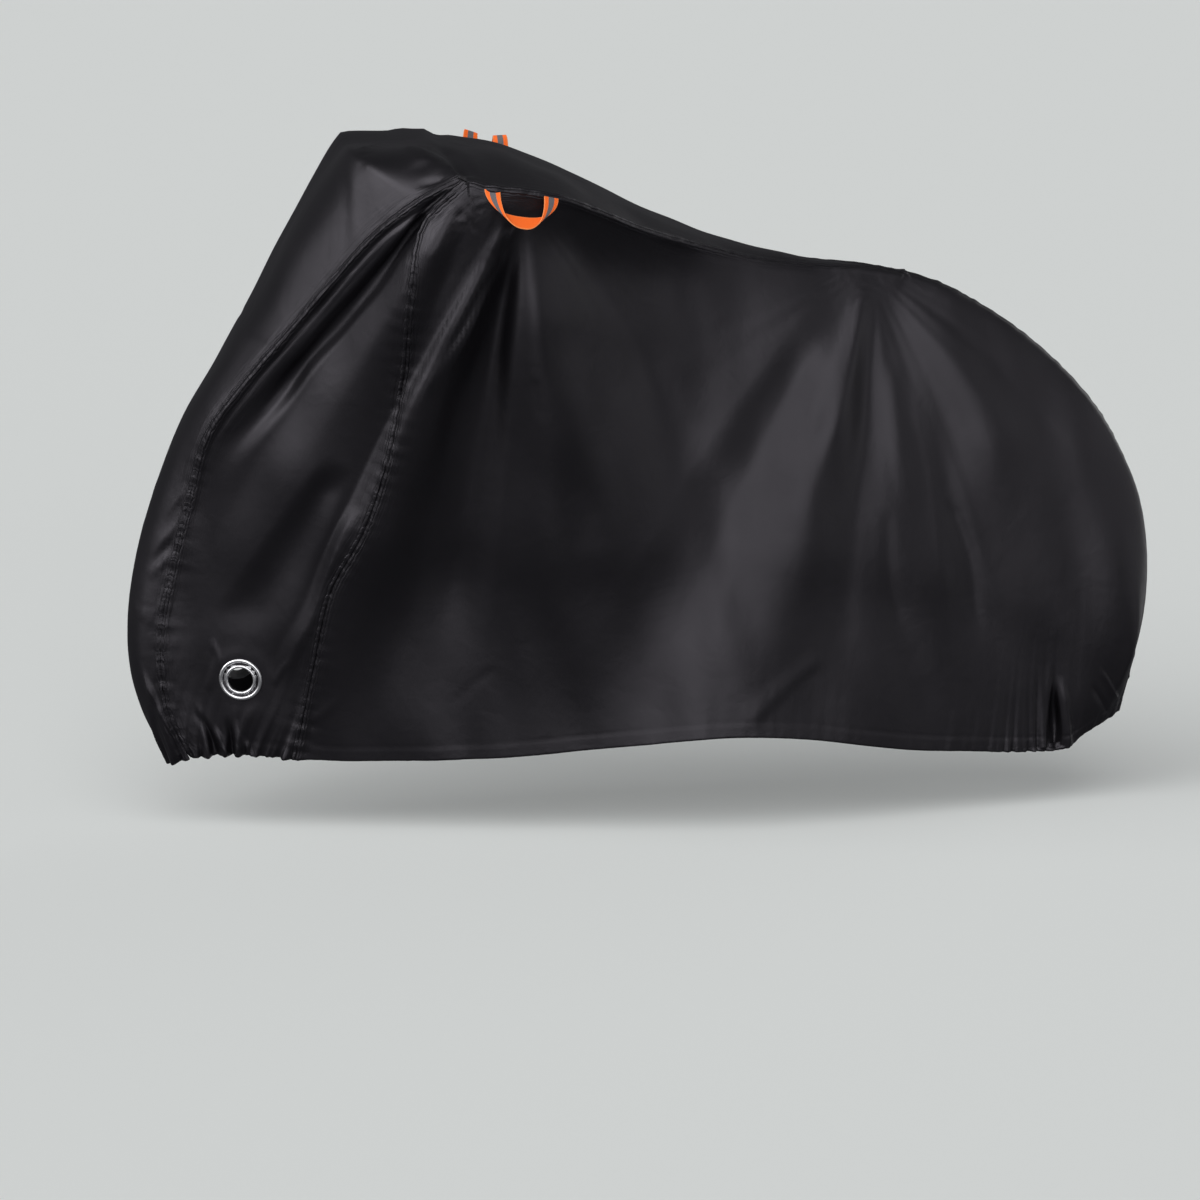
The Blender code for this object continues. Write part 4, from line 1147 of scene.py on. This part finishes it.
@dataclass
class ClothPanel:
    """One sewn panel of the cover, with its creases, puckered seams and hem."""

    name: str
    layout: CoverLayout
    cloth: bpy.types.Material
    creases: tuple
    hand: Hand | None = None              # the centre panel has none
    surface: np.ndarray | None = None     # its finished outer face, kept for the sewing

    def seam_keys(self) -> tuple:
        """Return the keys of the seams that the panel takes part in."""
        if self.hand is None:
            return tuple((kind, hand) for kind in ("front", "top") for hand in Hand)
        kinds = ("front", "side") if self.name.startswith("gusset") else ("side", "top", "back")
        return tuple((kind, self.hand) for kind in kinds)

    def creased(self, points: np.ndarray) -> np.ndarray:
        """Return the lift of the creases, fans and unevenness of the panel."""
        side_view = points[..., [0, 2]]
        if self.hand is not None:
            lift = crease_lift(side_view, self.creases) + fan_lift(side_view, FANS)
            return lift + uneven_lift(side_view, UNEVEN_SEEDS[self.hand])
        lift = crease_lift(points[..., [0, 1]], self.creases)
        for hand in Hand:
            half = ease(hand.value * points[..., 1] / 0.02)
            lift += crease_lift(side_view, on_side(hand, NOSE_CREASES)) * half
        return lift + UNEVEN_TOP * uneven_lift(points[..., [0, 1]], UNEVEN_SEEDS[self.hand])

    def seam_lift(self, points: np.ndarray):
        """Return the lift that the sewing gives the cloth and how each point lies to its seam.

        Returns:
            The lift, the run along the nearest seam, the distance from it and the strength of its
            wrinkles.
        """
        lift, runs, strength = np.zeros((3, *points.shape[:-1]))
        nearest = np.full(lift.shape, 1.0)
        for number, (kind, hand) in enumerate(self.seam_keys()):
            seam = self.layout.seams[kind, hand]
            run, distance = seam.reach(points)
            from_bar = np.linalg.norm(points - BAR_END * hand.outwards, axis=-1)
            made = seam_shape(kind, seam, run, distance)
            if kind == "front":
                made += roll_lift(seam, run, distance, self.hand is None)
            lift += made * ease((from_bar - BAR_CLEAR[0]) / BAR_CLEAR[1])
            closer = distance < nearest
            first, last = SEWING[kind].crumple
            nearest[closer] = distance[closer]
            runs[closer] = run[closer] + RUN_APART * number
            strength[closer] = (first + (last - first) * run / seam.length)[closer]
        return lift, runs, nearest, strength

    def hem_lift(self, points: np.ndarray):
        """Return the lift of the hem's channel and gathers, the height above it and their pull."""
        rise = run_along(points, 0)
        edge = points[0]
        x = edge[:, 0]
        front = ease((GATHER_TO[0] - x) / GATHER_TO[1])
        rear = ease((x - GATHER_FROM[0]) / GATHER_FROM[1])
        rear = rear * (1 - 0.93 * ease((x - GATHER_END[0]) / GATHER_END[1]))
        gather = GATHER_FRONT * front + GATHER_REAR * rear + GATHER_ELSEWHERE
        seed = GATHER_SEEDS[self.hand]
        lean = run_along(edge, 0)[None, :] + (0.35 * front - 0.25 * rear)[None, :] * rise
        coarse, fine = GATHER_LENGTHS
        waves = ripple(lean, coarse, seed) + 0.6 * ripple(lean, fine, seed + 1)
        fall = np.exp(-rise / 0.030) * 0.7 + 0.3 * np.exp(-rise / 0.080)
        channel = HEM_CHANNEL * (1 - ease((rise - HEM_BAND + 0.001) / 0.003))
        stitch = -HEM_STITCH * bell(rise - HEM_BAND, 0.0028)
        pull = np.broadcast_to((0.12 + 0.88 * front + 0.40 * rear)[None, :], rise.shape)
        return gather[None, :] * waves * fall + channel + stitch, rise, pull

    def from_eyelet(self, points: np.ndarray) -> np.ndarray:
        """Return each point's distance from a gusset's eyelet, and far away on another panel."""
        if not self.name.startswith("gusset"):
            return np.ones(points.shape[:-1])
        return np.linalg.norm(points - self.layout.eyelets[self.hand][0], axis=-1)

    def turned_hem(self, points: np.ndarray, normals: np.ndarray) -> np.ndarray:
        """Return the rows that turn the hem's edge under and run a little way up inside."""
        down = points[0] - points[1]
        down /= np.linalg.norm(down, axis=1)[:, None]
        out = normals[0]
        rows = [points[0] - 2 * HEM_ROLL * out - HEM_BACK * down]
        for angle in np.linspace(math.pi, 0.0, HEM_TURN + 1)[:-1]:
            turn = (math.cos(angle) - 1) * out + math.sin(angle) * down
            rows.append(points[0] + HEM_ROLL * turn)
        return np.array(rows)

    def build(self) -> bpy.types.Object:
        """Build the panel's mesh, and keep its surface for the sewing."""
        base, normals = self.layout.panels[self.name], self.layout.normals[self.name]
        sewn, run, off, strength = self.seam_lift(base)
        hemmed, rise, pull = self.hem_lift(base)
        free = ease((self.from_eyelet(base) - EYELET_COVER) / EYELET_EASE)
        lift = SHEET_AT + sewn + (self.creased(base) * near_edge(base) + hemmed) * free
        self.surface = base + lift[..., None] * normals
        hem = self.turned_hem(self.surface, normals)
        rows = np.concatenate([hem, self.surface])
        flush = np.concatenate([np.repeat(self.surface[:1], len(hem), axis=0), self.surface])
        middles = 0.25 * (flush[1:, 1:] + flush[:-1, :-1] + flush[1:, :-1] + flush[:-1, 1:])
        piece = grid_object(f"visible_{self.name}", rows, self.from_eyelet(middles) > EYELET_CUT)
        fields = {"seam_run": run, "seam_off": off, "seam_strength": strength, "hem_rise": rise,
                  "hem_pull": pull}
        for name, values in fields.items():
            under = np.repeat(values[:1], len(hem), axis=0)
            add_value(piece, name, np.concatenate([under, values]))
        add_uv(piece, "cloth", arc_places(rows))
        piece.data.materials.append(self.cloth)
        thick = piece.modifiers.new("cloth thickness", "SOLIDIFY")
        thick.thickness = SHEET
        thick.offset = -1.0
        thick.use_even_offset = False
        return piece

    def dress(self, piece: bpy.types.Object) -> None:
        """Attach the panel to the root, hide the solid that it replaces and log its faces."""
        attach(piece, "root")
        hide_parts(self.name)
        log.info("%s: %d faces", piece.name, len(piece.data.polygons))


def near_edge(points: np.ndarray) -> np.ndarray:
    """Return 1 inside a panel, dying away to 0 at its borders with other panels."""
    inner = np.minimum(run_along(points, 1), run_along(points[:, ::-1], 1)[:, ::-1])
    below = run_along(points[::-1], 0)[::-1]
    return ease(inner / 0.02) * ease(below / 0.02)


def roll_lift(seam: SeamLine, run: np.ndarray, distance: np.ndarray, on_nose: bool) -> np.ndarray:
    """Return the lift of the rolled pleat that lies along the upper part of the front seam."""
    share = run / seam.length
    rise = ease((share - ROLL_FROM[0]) / (ROLL_FROM[1] - ROLL_FROM[0]))
    rise = rise * (1 + ROLL_UNEVEN[0] * ripple(run, ROLL_UNEVEN[1], seam.seed + 5))
    at_seam = bell(ROLL_AT, ROLL_WIDE)
    if on_nose:
        steep = (ROLL_HIGH * at_seam + ROLL_TUCK) * bell(distance, ROLL_STEEP)
        return rise * (steep - ROLL_TUCK * bell(distance, ROLL_TUCK_WIDE))
    high, away, wide = ROLL_SECOND
    second = high * bell(distance - away, wide) * ease(distance / 0.010)
    return rise * (ROLL_HIGH * bell(distance - ROLL_AT, ROLL_WIDE) + second)


def seam_shape(kind: str, seam: SeamLine, run: np.ndarray, distance: np.ndarray) -> np.ndarray:
    """Return how far a seam's stitches and doubled cloth lift the cloth beside it.

    Args:
        kind: which seam it is.
        seam: the seam's line.
        run: place along the seam of each point, metres.
        distance: distance of each point from the seam, metres.
    """
    sewing = SEWING[kind]
    share = run / seam.length
    valley = -SEAM_VALLEY[0] * bell(distance, SEAM_VALLEY[1])
    welt = sewing.welt * bell(distance - sewing.welt_at, WELT_WIDE)
    waves = ripple(run, sewing.spacing, seam.seed)
    waves = waves + 0.5 * ripple(run, 0.5 * sewing.spacing, seam.seed + 1)
    strength = np.ones_like(run)
    if kind == "front":
        strength = ease(share / 0.08) * (1 - 0.8 * ease((share - ROLL_FROM[0]) / 0.15))
    if kind == "top":
        strength = 0.6 + 1.4 * np.exp(-run / 0.06)
    return sewing.pucker * strength * waves * np.exp(-distance / sewing.depth) + valley + welt


# ---------------------------------------------------------------- carrying loops

@dataclass
class CarryingLoop:
    """A loop of webbing sewn into the top seam."""

    hand: Hand
    webbing: bpy.types.Material
    width: float = 0.026
    thickness: float = 0.0018
    steps: int = 72                  # cells along it
    strips: int = 14                 # and across it
    drop: float = 0.045              # how far its middle hangs below its ends
    stand: float = 0.022             # how far its middle stands out from the cloth
    tilt: tuple = (0.75, -0.65)      # way, out and up, of the webbing's width at the middle
    seat: float = 0.0007             # from the seam's line out to the webbing's ends
    lower: float = 0.004             # and from the seam down to them
    square: float = 0.86             # 1 is a round loop, less a squarer one
    arch: float = 0.047              # how far the right loop's ends stand up before it hangs

    def route(self):
        """Return the loop's middle line and the way its width points along it."""
        angle = np.linspace(math.pi, 0.0, self.steps + 1)
        front, rear = LOOP_ROOTS[self.hand]
        turn = np.sign(np.cos(angle)) * np.abs(np.cos(angle)) ** self.square
        along = front + 0.5 * (1 + turn) * (rear - front)
        low = np.sin(angle)[:, None]
        seam_way = top_edge(along + 0.001) - top_edge(along - 0.001)
        seam_way /= np.linalg.norm(seam_way, axis=1)[:, None]
        line = top_edge(along) + np.array([0.0, self.seat, -self.lower])
        line += low * np.array([0.0, self.stand, -self.drop])
        if self.hand is Hand.RIGHT:
            line[:, 2] += 4 * self.arch * low[:, 0] * (1 - low[:, 0])
        width = -np.cos(angle)[:, None] * seam_way + low * np.array([0.0, *self.tilt])
        return line, width / np.linalg.norm(width, axis=1)[:, None]

    def build(self) -> bpy.types.Object:
        """Build the loop along its route, with a UV map and a value for its outer face."""
        line, width = self.route()
        face = np.cross(width, np.gradient(line, axis=0))
        face /= np.linalg.norm(face, axis=1)[:, None]
        profile = self.profile()
        across, out = profile.T
        rings = line[:, None] + across[:, None] * width[:, None] + out[:, None] * face[:, None]
        piece = ring_object(f"webbing_loop_{self.hand.word}", rings * self.hand.outwards, False)
        add_value(piece, "outer_face", np.tile(out > 0.6 * self.thickness, len(line)))
        places = np.broadcast_arrays(0.5 + across / self.width, run_along(line, 0)[:, None])
        add_uv(piece, "webbing", np.stack(places, -1))
        piece.data.materials.append(self.webbing)
        return piece

    def profile(self) -> np.ndarray:
        """Return the webbing's closed section as (across, out), with rounded edges."""
        half = 0.5 * self.width
        edge = 0.5 * self.thickness
        across = np.linspace(-half + edge, half - edge, self.strips + 1)
        turn = np.linspace(0.5 * math.pi, -0.5 * math.pi, 6)[1:-1]
        right = [(half - edge + edge * math.cos(t), edge + edge * math.sin(t)) for t in turn]
        left = [(-a, self.thickness - b) for a, b in right]
        return np.array([(a, self.thickness) for a in across] + right
                        + [(a, 0.0) for a in across[::-1]] + left)

    def dress(self, piece: bpy.types.Object) -> None:
        """Attach the loop to the root, hide the solid that it replaces and log its faces."""
        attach(piece, "root")
        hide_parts(f"handle_{self.hand.word}")
        log.info("%s: %d faces", piece.name, len(piece.data.polygons))


# ---------------------------------------------------------------- lock eyelets

@dataclass
class LockEyelet:
    """A polished eyelet: a rolled outer rim, a groove and a raised collar round its hole."""

    hand: Hand
    steel: bpy.types.Material
    layout: CoverLayout
    outer: float = 0.0370
    inner: float = 0.0212
    rim: tuple = (0.0032, 0.0026)      # half-width and height of the rolled rim
    collar: tuple = (0.0026, 0.0030)   # and of the collar
    sides: int = 96

    def profile(self) -> np.ndarray:
        """Return the eyelet's closed section as (radius, height)."""
        front = CLOTH + 0.0005
        rim_at = self.outer - self.rim[0]
        collar_at = self.inner + self.collar[0]
        groove = 0.5 * (self.outer + self.inner)
        points = [(rim_at + self.rim[0] * math.cos(t), front + self.rim[1] * math.sin(t))
                  for t in np.linspace(-0.25 * math.pi, 1.1 * math.pi, 14)]
        points += [(groove + 0.0012, front - 0.0014), (groove - 0.0012, front - 0.0014)]
        points += [(collar_at + self.collar[0] * math.cos(t), front + self.collar[1] * math.sin(t))
                   for t in np.linspace(-0.1 * math.pi, 1.0 * math.pi, 12)]
        points += [(self.inner, front - 0.0004), (self.inner + 0.0003, -0.0016)]
        points += [(self.outer - 0.0030, -0.0016), (self.outer - 0.0030, -0.0006)]
        points += [(self.inner + 0.0035, -0.0005), (self.inner + 0.0035, front - 0.0003)]
        return np.array(points)

    def build(self) -> bpy.types.Object:
        """Turn the section round the eyelet's axis."""
        centre, axis = self.layout.eyelets[self.hand]
        across = np.array(Vector(axis).orthogonal().normalized())
        angle = np.linspace(0.0, 2 * math.pi, self.sides + 1)[:-1, None]
        ways = np.cos(angle) * across + np.sin(angle) * np.cross(axis, across)
        radius, height = self.profile().T
        rings = centre + radius[:, None] * ways[:, None] + height[:, None] * axis
        piece = ring_object(f"turned_eyelet_{self.hand.word}", rings, True)
        piece.data.set_sharp_from_angle(angle=math.radians(50))
        piece.data.materials.append(self.steel)
        return piece

    def dress(self, piece: bpy.types.Object) -> None:
        """Attach the eyelet to the root, hide the solid that it replaces and log its faces."""
        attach(piece, "root")
        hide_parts(f"eyelet_{self.hand.word}")
        log.info("%s: %d faces", piece.name, len(piece.data.polygons))


# ---------------------------------------------------------------- rows of stitches

def inset_line(surface: np.ndarray, inset: float) -> np.ndarray:
    """Return the line at a distance inside a grid's first row, with one point for each column."""
    rise = run_along(surface, 0)
    return np.array([[np.interp(inset, up, values) for values in column.T]
                     for up, column in zip(rise.T, surface.swapaxes(0, 1))])


@dataclass
class SewnRows:
    """The rows of stitches along the seams and the hem, laid by a node group."""

    thread: bpy.types.Material
    panels: list
    pitch: float = 0.0048        # from one stitch to the next
    length: float = 0.0035
    thickness: float = 0.0007

    def lines(self) -> list:
        """Return every row of stitches as a line of points."""
        rows = []
        for panel in self.panels:
            surface = panel.surface
            turned = surface.swapaxes(0, 1)
            if panel.hand is Hand.LEFT:
                turned = turned[::-1]
            if panel.hand is None:
                nose, top = turned[:, :ROWS + 1], turned[:, ROWS + 1:]
                edges = (("front", nose), ("front", nose[::-1]), ("top", top), ("top", top[::-1]))
            elif panel.name.startswith("gusset"):
                edges = (("front", turned), ("side", turned[::-1]))
            else:
                down = turned.swapaxes(0, 1)[::-1]
                edges = (("side", turned), ("top", down[:, 2:TOP_COLUMNS - 1]),
                         ("back", down[:, TOP_COLUMNS + 4:-2]))
            rows.append(inset_line(surface, HEM_BAND))
            rows += [inset_line(edge, SEWING[kind].stitch_at) for kind, edge in edges]
        return rows

    def node_group(self) -> bpy.types.NodeTree:
        """Make the node group that lays one stitch after another along each line."""
        group = bpy.data.node_groups.new("stitch_rows", "GeometryNodeTree")
        sockets = (("Geometry", "INPUT", "Geometry"), ("Pitch", "INPUT", "Float"),
                   ("Length", "INPUT", "Float"), ("Thickness", "INPUT", "Float"),
                   ("Seed", "INPUT", "Int"), ("Geometry", "OUTPUT", "Geometry"))
        for name, way, kind in sockets:
            group.interface.new_socket(name, in_out=way, socket_type=f"NodeSocket{kind}")
        tree = Tree(group)
        source = tree.add("NodeGroupInput").outputs
        curve = tree.add("GeometryNodeMeshToCurve", {"Mesh": source["Geometry"]})
        spaced = tree.add("GeometryNodeResampleCurve",
                          {"Curve": curve.outputs[0], "Length": source["Pitch"]}, mode="LENGTH")
        ball = tree.add("GeometryNodeMeshUVSphere", {"Segments": 6, "Rings": 4, "Radius": 0.5})
        thick = source["Thickness"]
        sizes = tree.add("ShaderNodeCombineXYZ", {"X": source["Length"], "Y": thick, "Z": thick})
        stitch = tree.add("GeometryNodeTransform",
                          {"Geometry": ball.outputs["Mesh"], "Scale": sizes.outputs[0]})
        way = tree.add("GeometryNodeInputTangent")
        turn = tree.add("FunctionNodeAlignRotationToVector", {"Vector": way.outputs[0]}, axis="X")
        vary = tree.add("FunctionNodeRandomValue", {2: 0.86, 3: 1.08, "Seed": source["Seed"]})
        laid = tree.add("GeometryNodeInstanceOnPoints",
                        {"Points": spaced.outputs[0], "Instance": stitch.outputs[0],
                         "Rotation": turn.outputs[0], "Scale": vary.outputs[1]})
        real = tree.add("GeometryNodeRealizeInstances", {"Geometry": laid.outputs[0]})
        dyed = tree.add("GeometryNodeSetMaterial",
                        {"Geometry": real.outputs[0], "Material": self.thread})
        tree.add("NodeGroupOutput", {"Geometry": dyed.outputs[0]})
        return group

    def build(self) -> bpy.types.Object:
        """Build the stitches."""
        points, edges = [], []
        for line in self.lines():
            first = len(points)
            points += [tuple(point - HELD_AT) for point in line]
            edges += [(number, number + 1) for number in range(first, len(points) - 1)]
        mesh = bpy.data.meshes.new("sewn_rows")
        mesh.from_pydata(points, edges, [])
        piece = linked("sewn_rows", mesh)
        laid = piece.modifiers.new("stitch rows", "NODES")
        laid.node_group = self.node_group()
        sizes = {"Pitch": self.pitch, "Length": self.length, "Thickness": self.thickness, "Seed": 7}
        for item in laid.node_group.interface.items_tree:
            if item.in_out == "INPUT" and item.name in sizes:
                laid[item.identifier] = sizes[item.name]
        return applied(piece)

    def dress(self, piece: bpy.types.Object) -> None:
        """Attach the stitches to the root and log their faces."""
        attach(piece, "root")
        log.info("%s: %d faces", piece.name, len(piece.data.polygons))


# ---------------------------------------------------------------- floor, lights and camera

class Sun(NamedTuple):
    """A soft light that shines from far away."""

    name: str
    way: tuple         # the way that it shines
    strength: float
    spread: float      # degrees


SUNS = (
    Sun("key_sun", (0.797, 0.290, -0.530), 1.3, 50.0),
    Sun("high_sun", (0.092, 0.522, -0.848), 1.0, 50.0),
    Sun("front_sun", (0.000, 0.990, -0.139), 1.1, 50.0),
    Sun("low_sun", (0.828, 0.480, -0.290), 0.58, 50.0),
    Sun("rear_sun", (-0.931, 0.339, -0.139), 0.28, 45.0),
    Sun("rim_sun", (-0.811, -0.568, -0.139), 0.55, 45.0),
)


@dataclass
class Studio:
    """A pale floor, soft lights and the camera at the photograph's viewing angle."""

    turn: float = math.radians(6.7)      # the camera looks this far to the rear of square
    dip: float = math.radians(12.0)      # and this far down
    away: float = 8.0
    aim: tuple = (0.0, 0.0, 0.371)       # the point in the middle of the picture, from the ground
    lens: float = 139.7
    floor_size: float = 120.0
    floor_colour: tuple = (0.590, 0.606, 0.598, 1.0)
    floor_glow: tuple = (0.970, 1.000, 0.985, 1.0)
    glow: float = 0.19
    sky: tuple = (0.93, 0.95, 1.0, 1.0)
    sky_strength: float = 0.09

    def aimed(self, name: str, data, way) -> bpy.types.Object:
        """Add a camera or a lamp that looks along a way."""
        made = linked(name, data)
        made.rotation_mode = "QUATERNION"
        made.rotation_quaternion = Vector(way).to_track_quat("-Z", "Y")
        return made

    def camera(self) -> None:
        """Place the camera."""
        way = Vector((math.sin(self.turn) * math.cos(self.dip),
                      math.cos(self.turn) * math.cos(self.dip),
                      -math.sin(self.dip)))
        data = bpy.data.cameras.new("camera")
        data.lens = self.lens
        data.sensor_width = 36.0
        data.clip_end = 300.0
        eye = self.aimed("camera", data, way)
        eye.location = Vector(self.aim) - self.away * way - Vector(HELD_AT)
        bpy.context.scene.camera = eye

    def floor(self) -> None:
        """Lay the floor at the ground under the tyres."""
        shape = bmesh.new()
        bmesh.ops.create_circle(shape, cap_ends=True, segments=96, radius=0.5 * self.floor_size)
        mesh = bpy.data.meshes.new("studio_floor")
        shape.to_mesh(mesh)
        shape.free()
        for vert in mesh.vertices:
            vert.co.z -= HELD_AT[2]
        material, tree, shader = new_material("studio_floor")
        tree.fill(shader, {
            "Base Color": self.floor_colour,
            "Emission Color": self.floor_glow,
            "Emission Strength": self.glow,
            "Roughness": 0.9,
            "Specular IOR Level": 0.0,
        })
        mesh.materials.append(material)
        floor = linked("studio_floor", mesh)
        floor.visible_glossy = False

    def lights(self) -> None:
        """Light the cover with a dim sky and soft suns: four on its left, two behind it."""
        world = bpy.data.worlds.new("studio")
        world.use_nodes = True
        background = world.node_tree.nodes["Background"]
        Tree(world.node_tree).fill(background, {"Color": self.sky, "Strength": self.sky_strength})
        bpy.context.scene.world = world
        for sun in SUNS:
            data = bpy.data.lights.new(sun.name, "SUN")
            data.energy = sun.strength
            data.angle = math.radians(sun.spread)
            self.aimed(sun.name, data, sun.way)
        bpy.context.scene.view_settings.view_transform = "Standard"

    def build(self) -> None:
        """Build the whole studio."""
        self.floor()
        self.lights()
        self.camera()


def main() -> None:
    """Build the cover's pieces in order."""
    logging.basicConfig(level=logging.INFO, format="%(name)s: %(message)s")
    layout = CoverLayout()
    cloth = CoatedCloth().material()
    webbing = LoopWebbing().material()
    steel = PolishedSteel().material()
    panels = [ClothPanel("centre_panel", layout, cloth, CENTRE_CREASES)]
    for hand in Hand:
        for kind, creases in (("gusset", GUSSET_CREASES), ("side", SIDE_CREASES)):
            name = f"{kind}_{hand.word}"
            panels.append(ClothPanel(name, layout, cloth, on_side(hand, creases), hand))
    for panel in panels:
        panel.dress(applied(panel.build()))
    pieces = [SewnRows(BlackThread().material(), panels)]
    for hand in Hand:
        pieces += [CarryingLoop(hand, webbing), LockEyelet(hand, steel, layout)]
    for piece in pieces:
        piece.dress(piece.build())
    Studio().build()


if __name__ == "__main__":
    main()
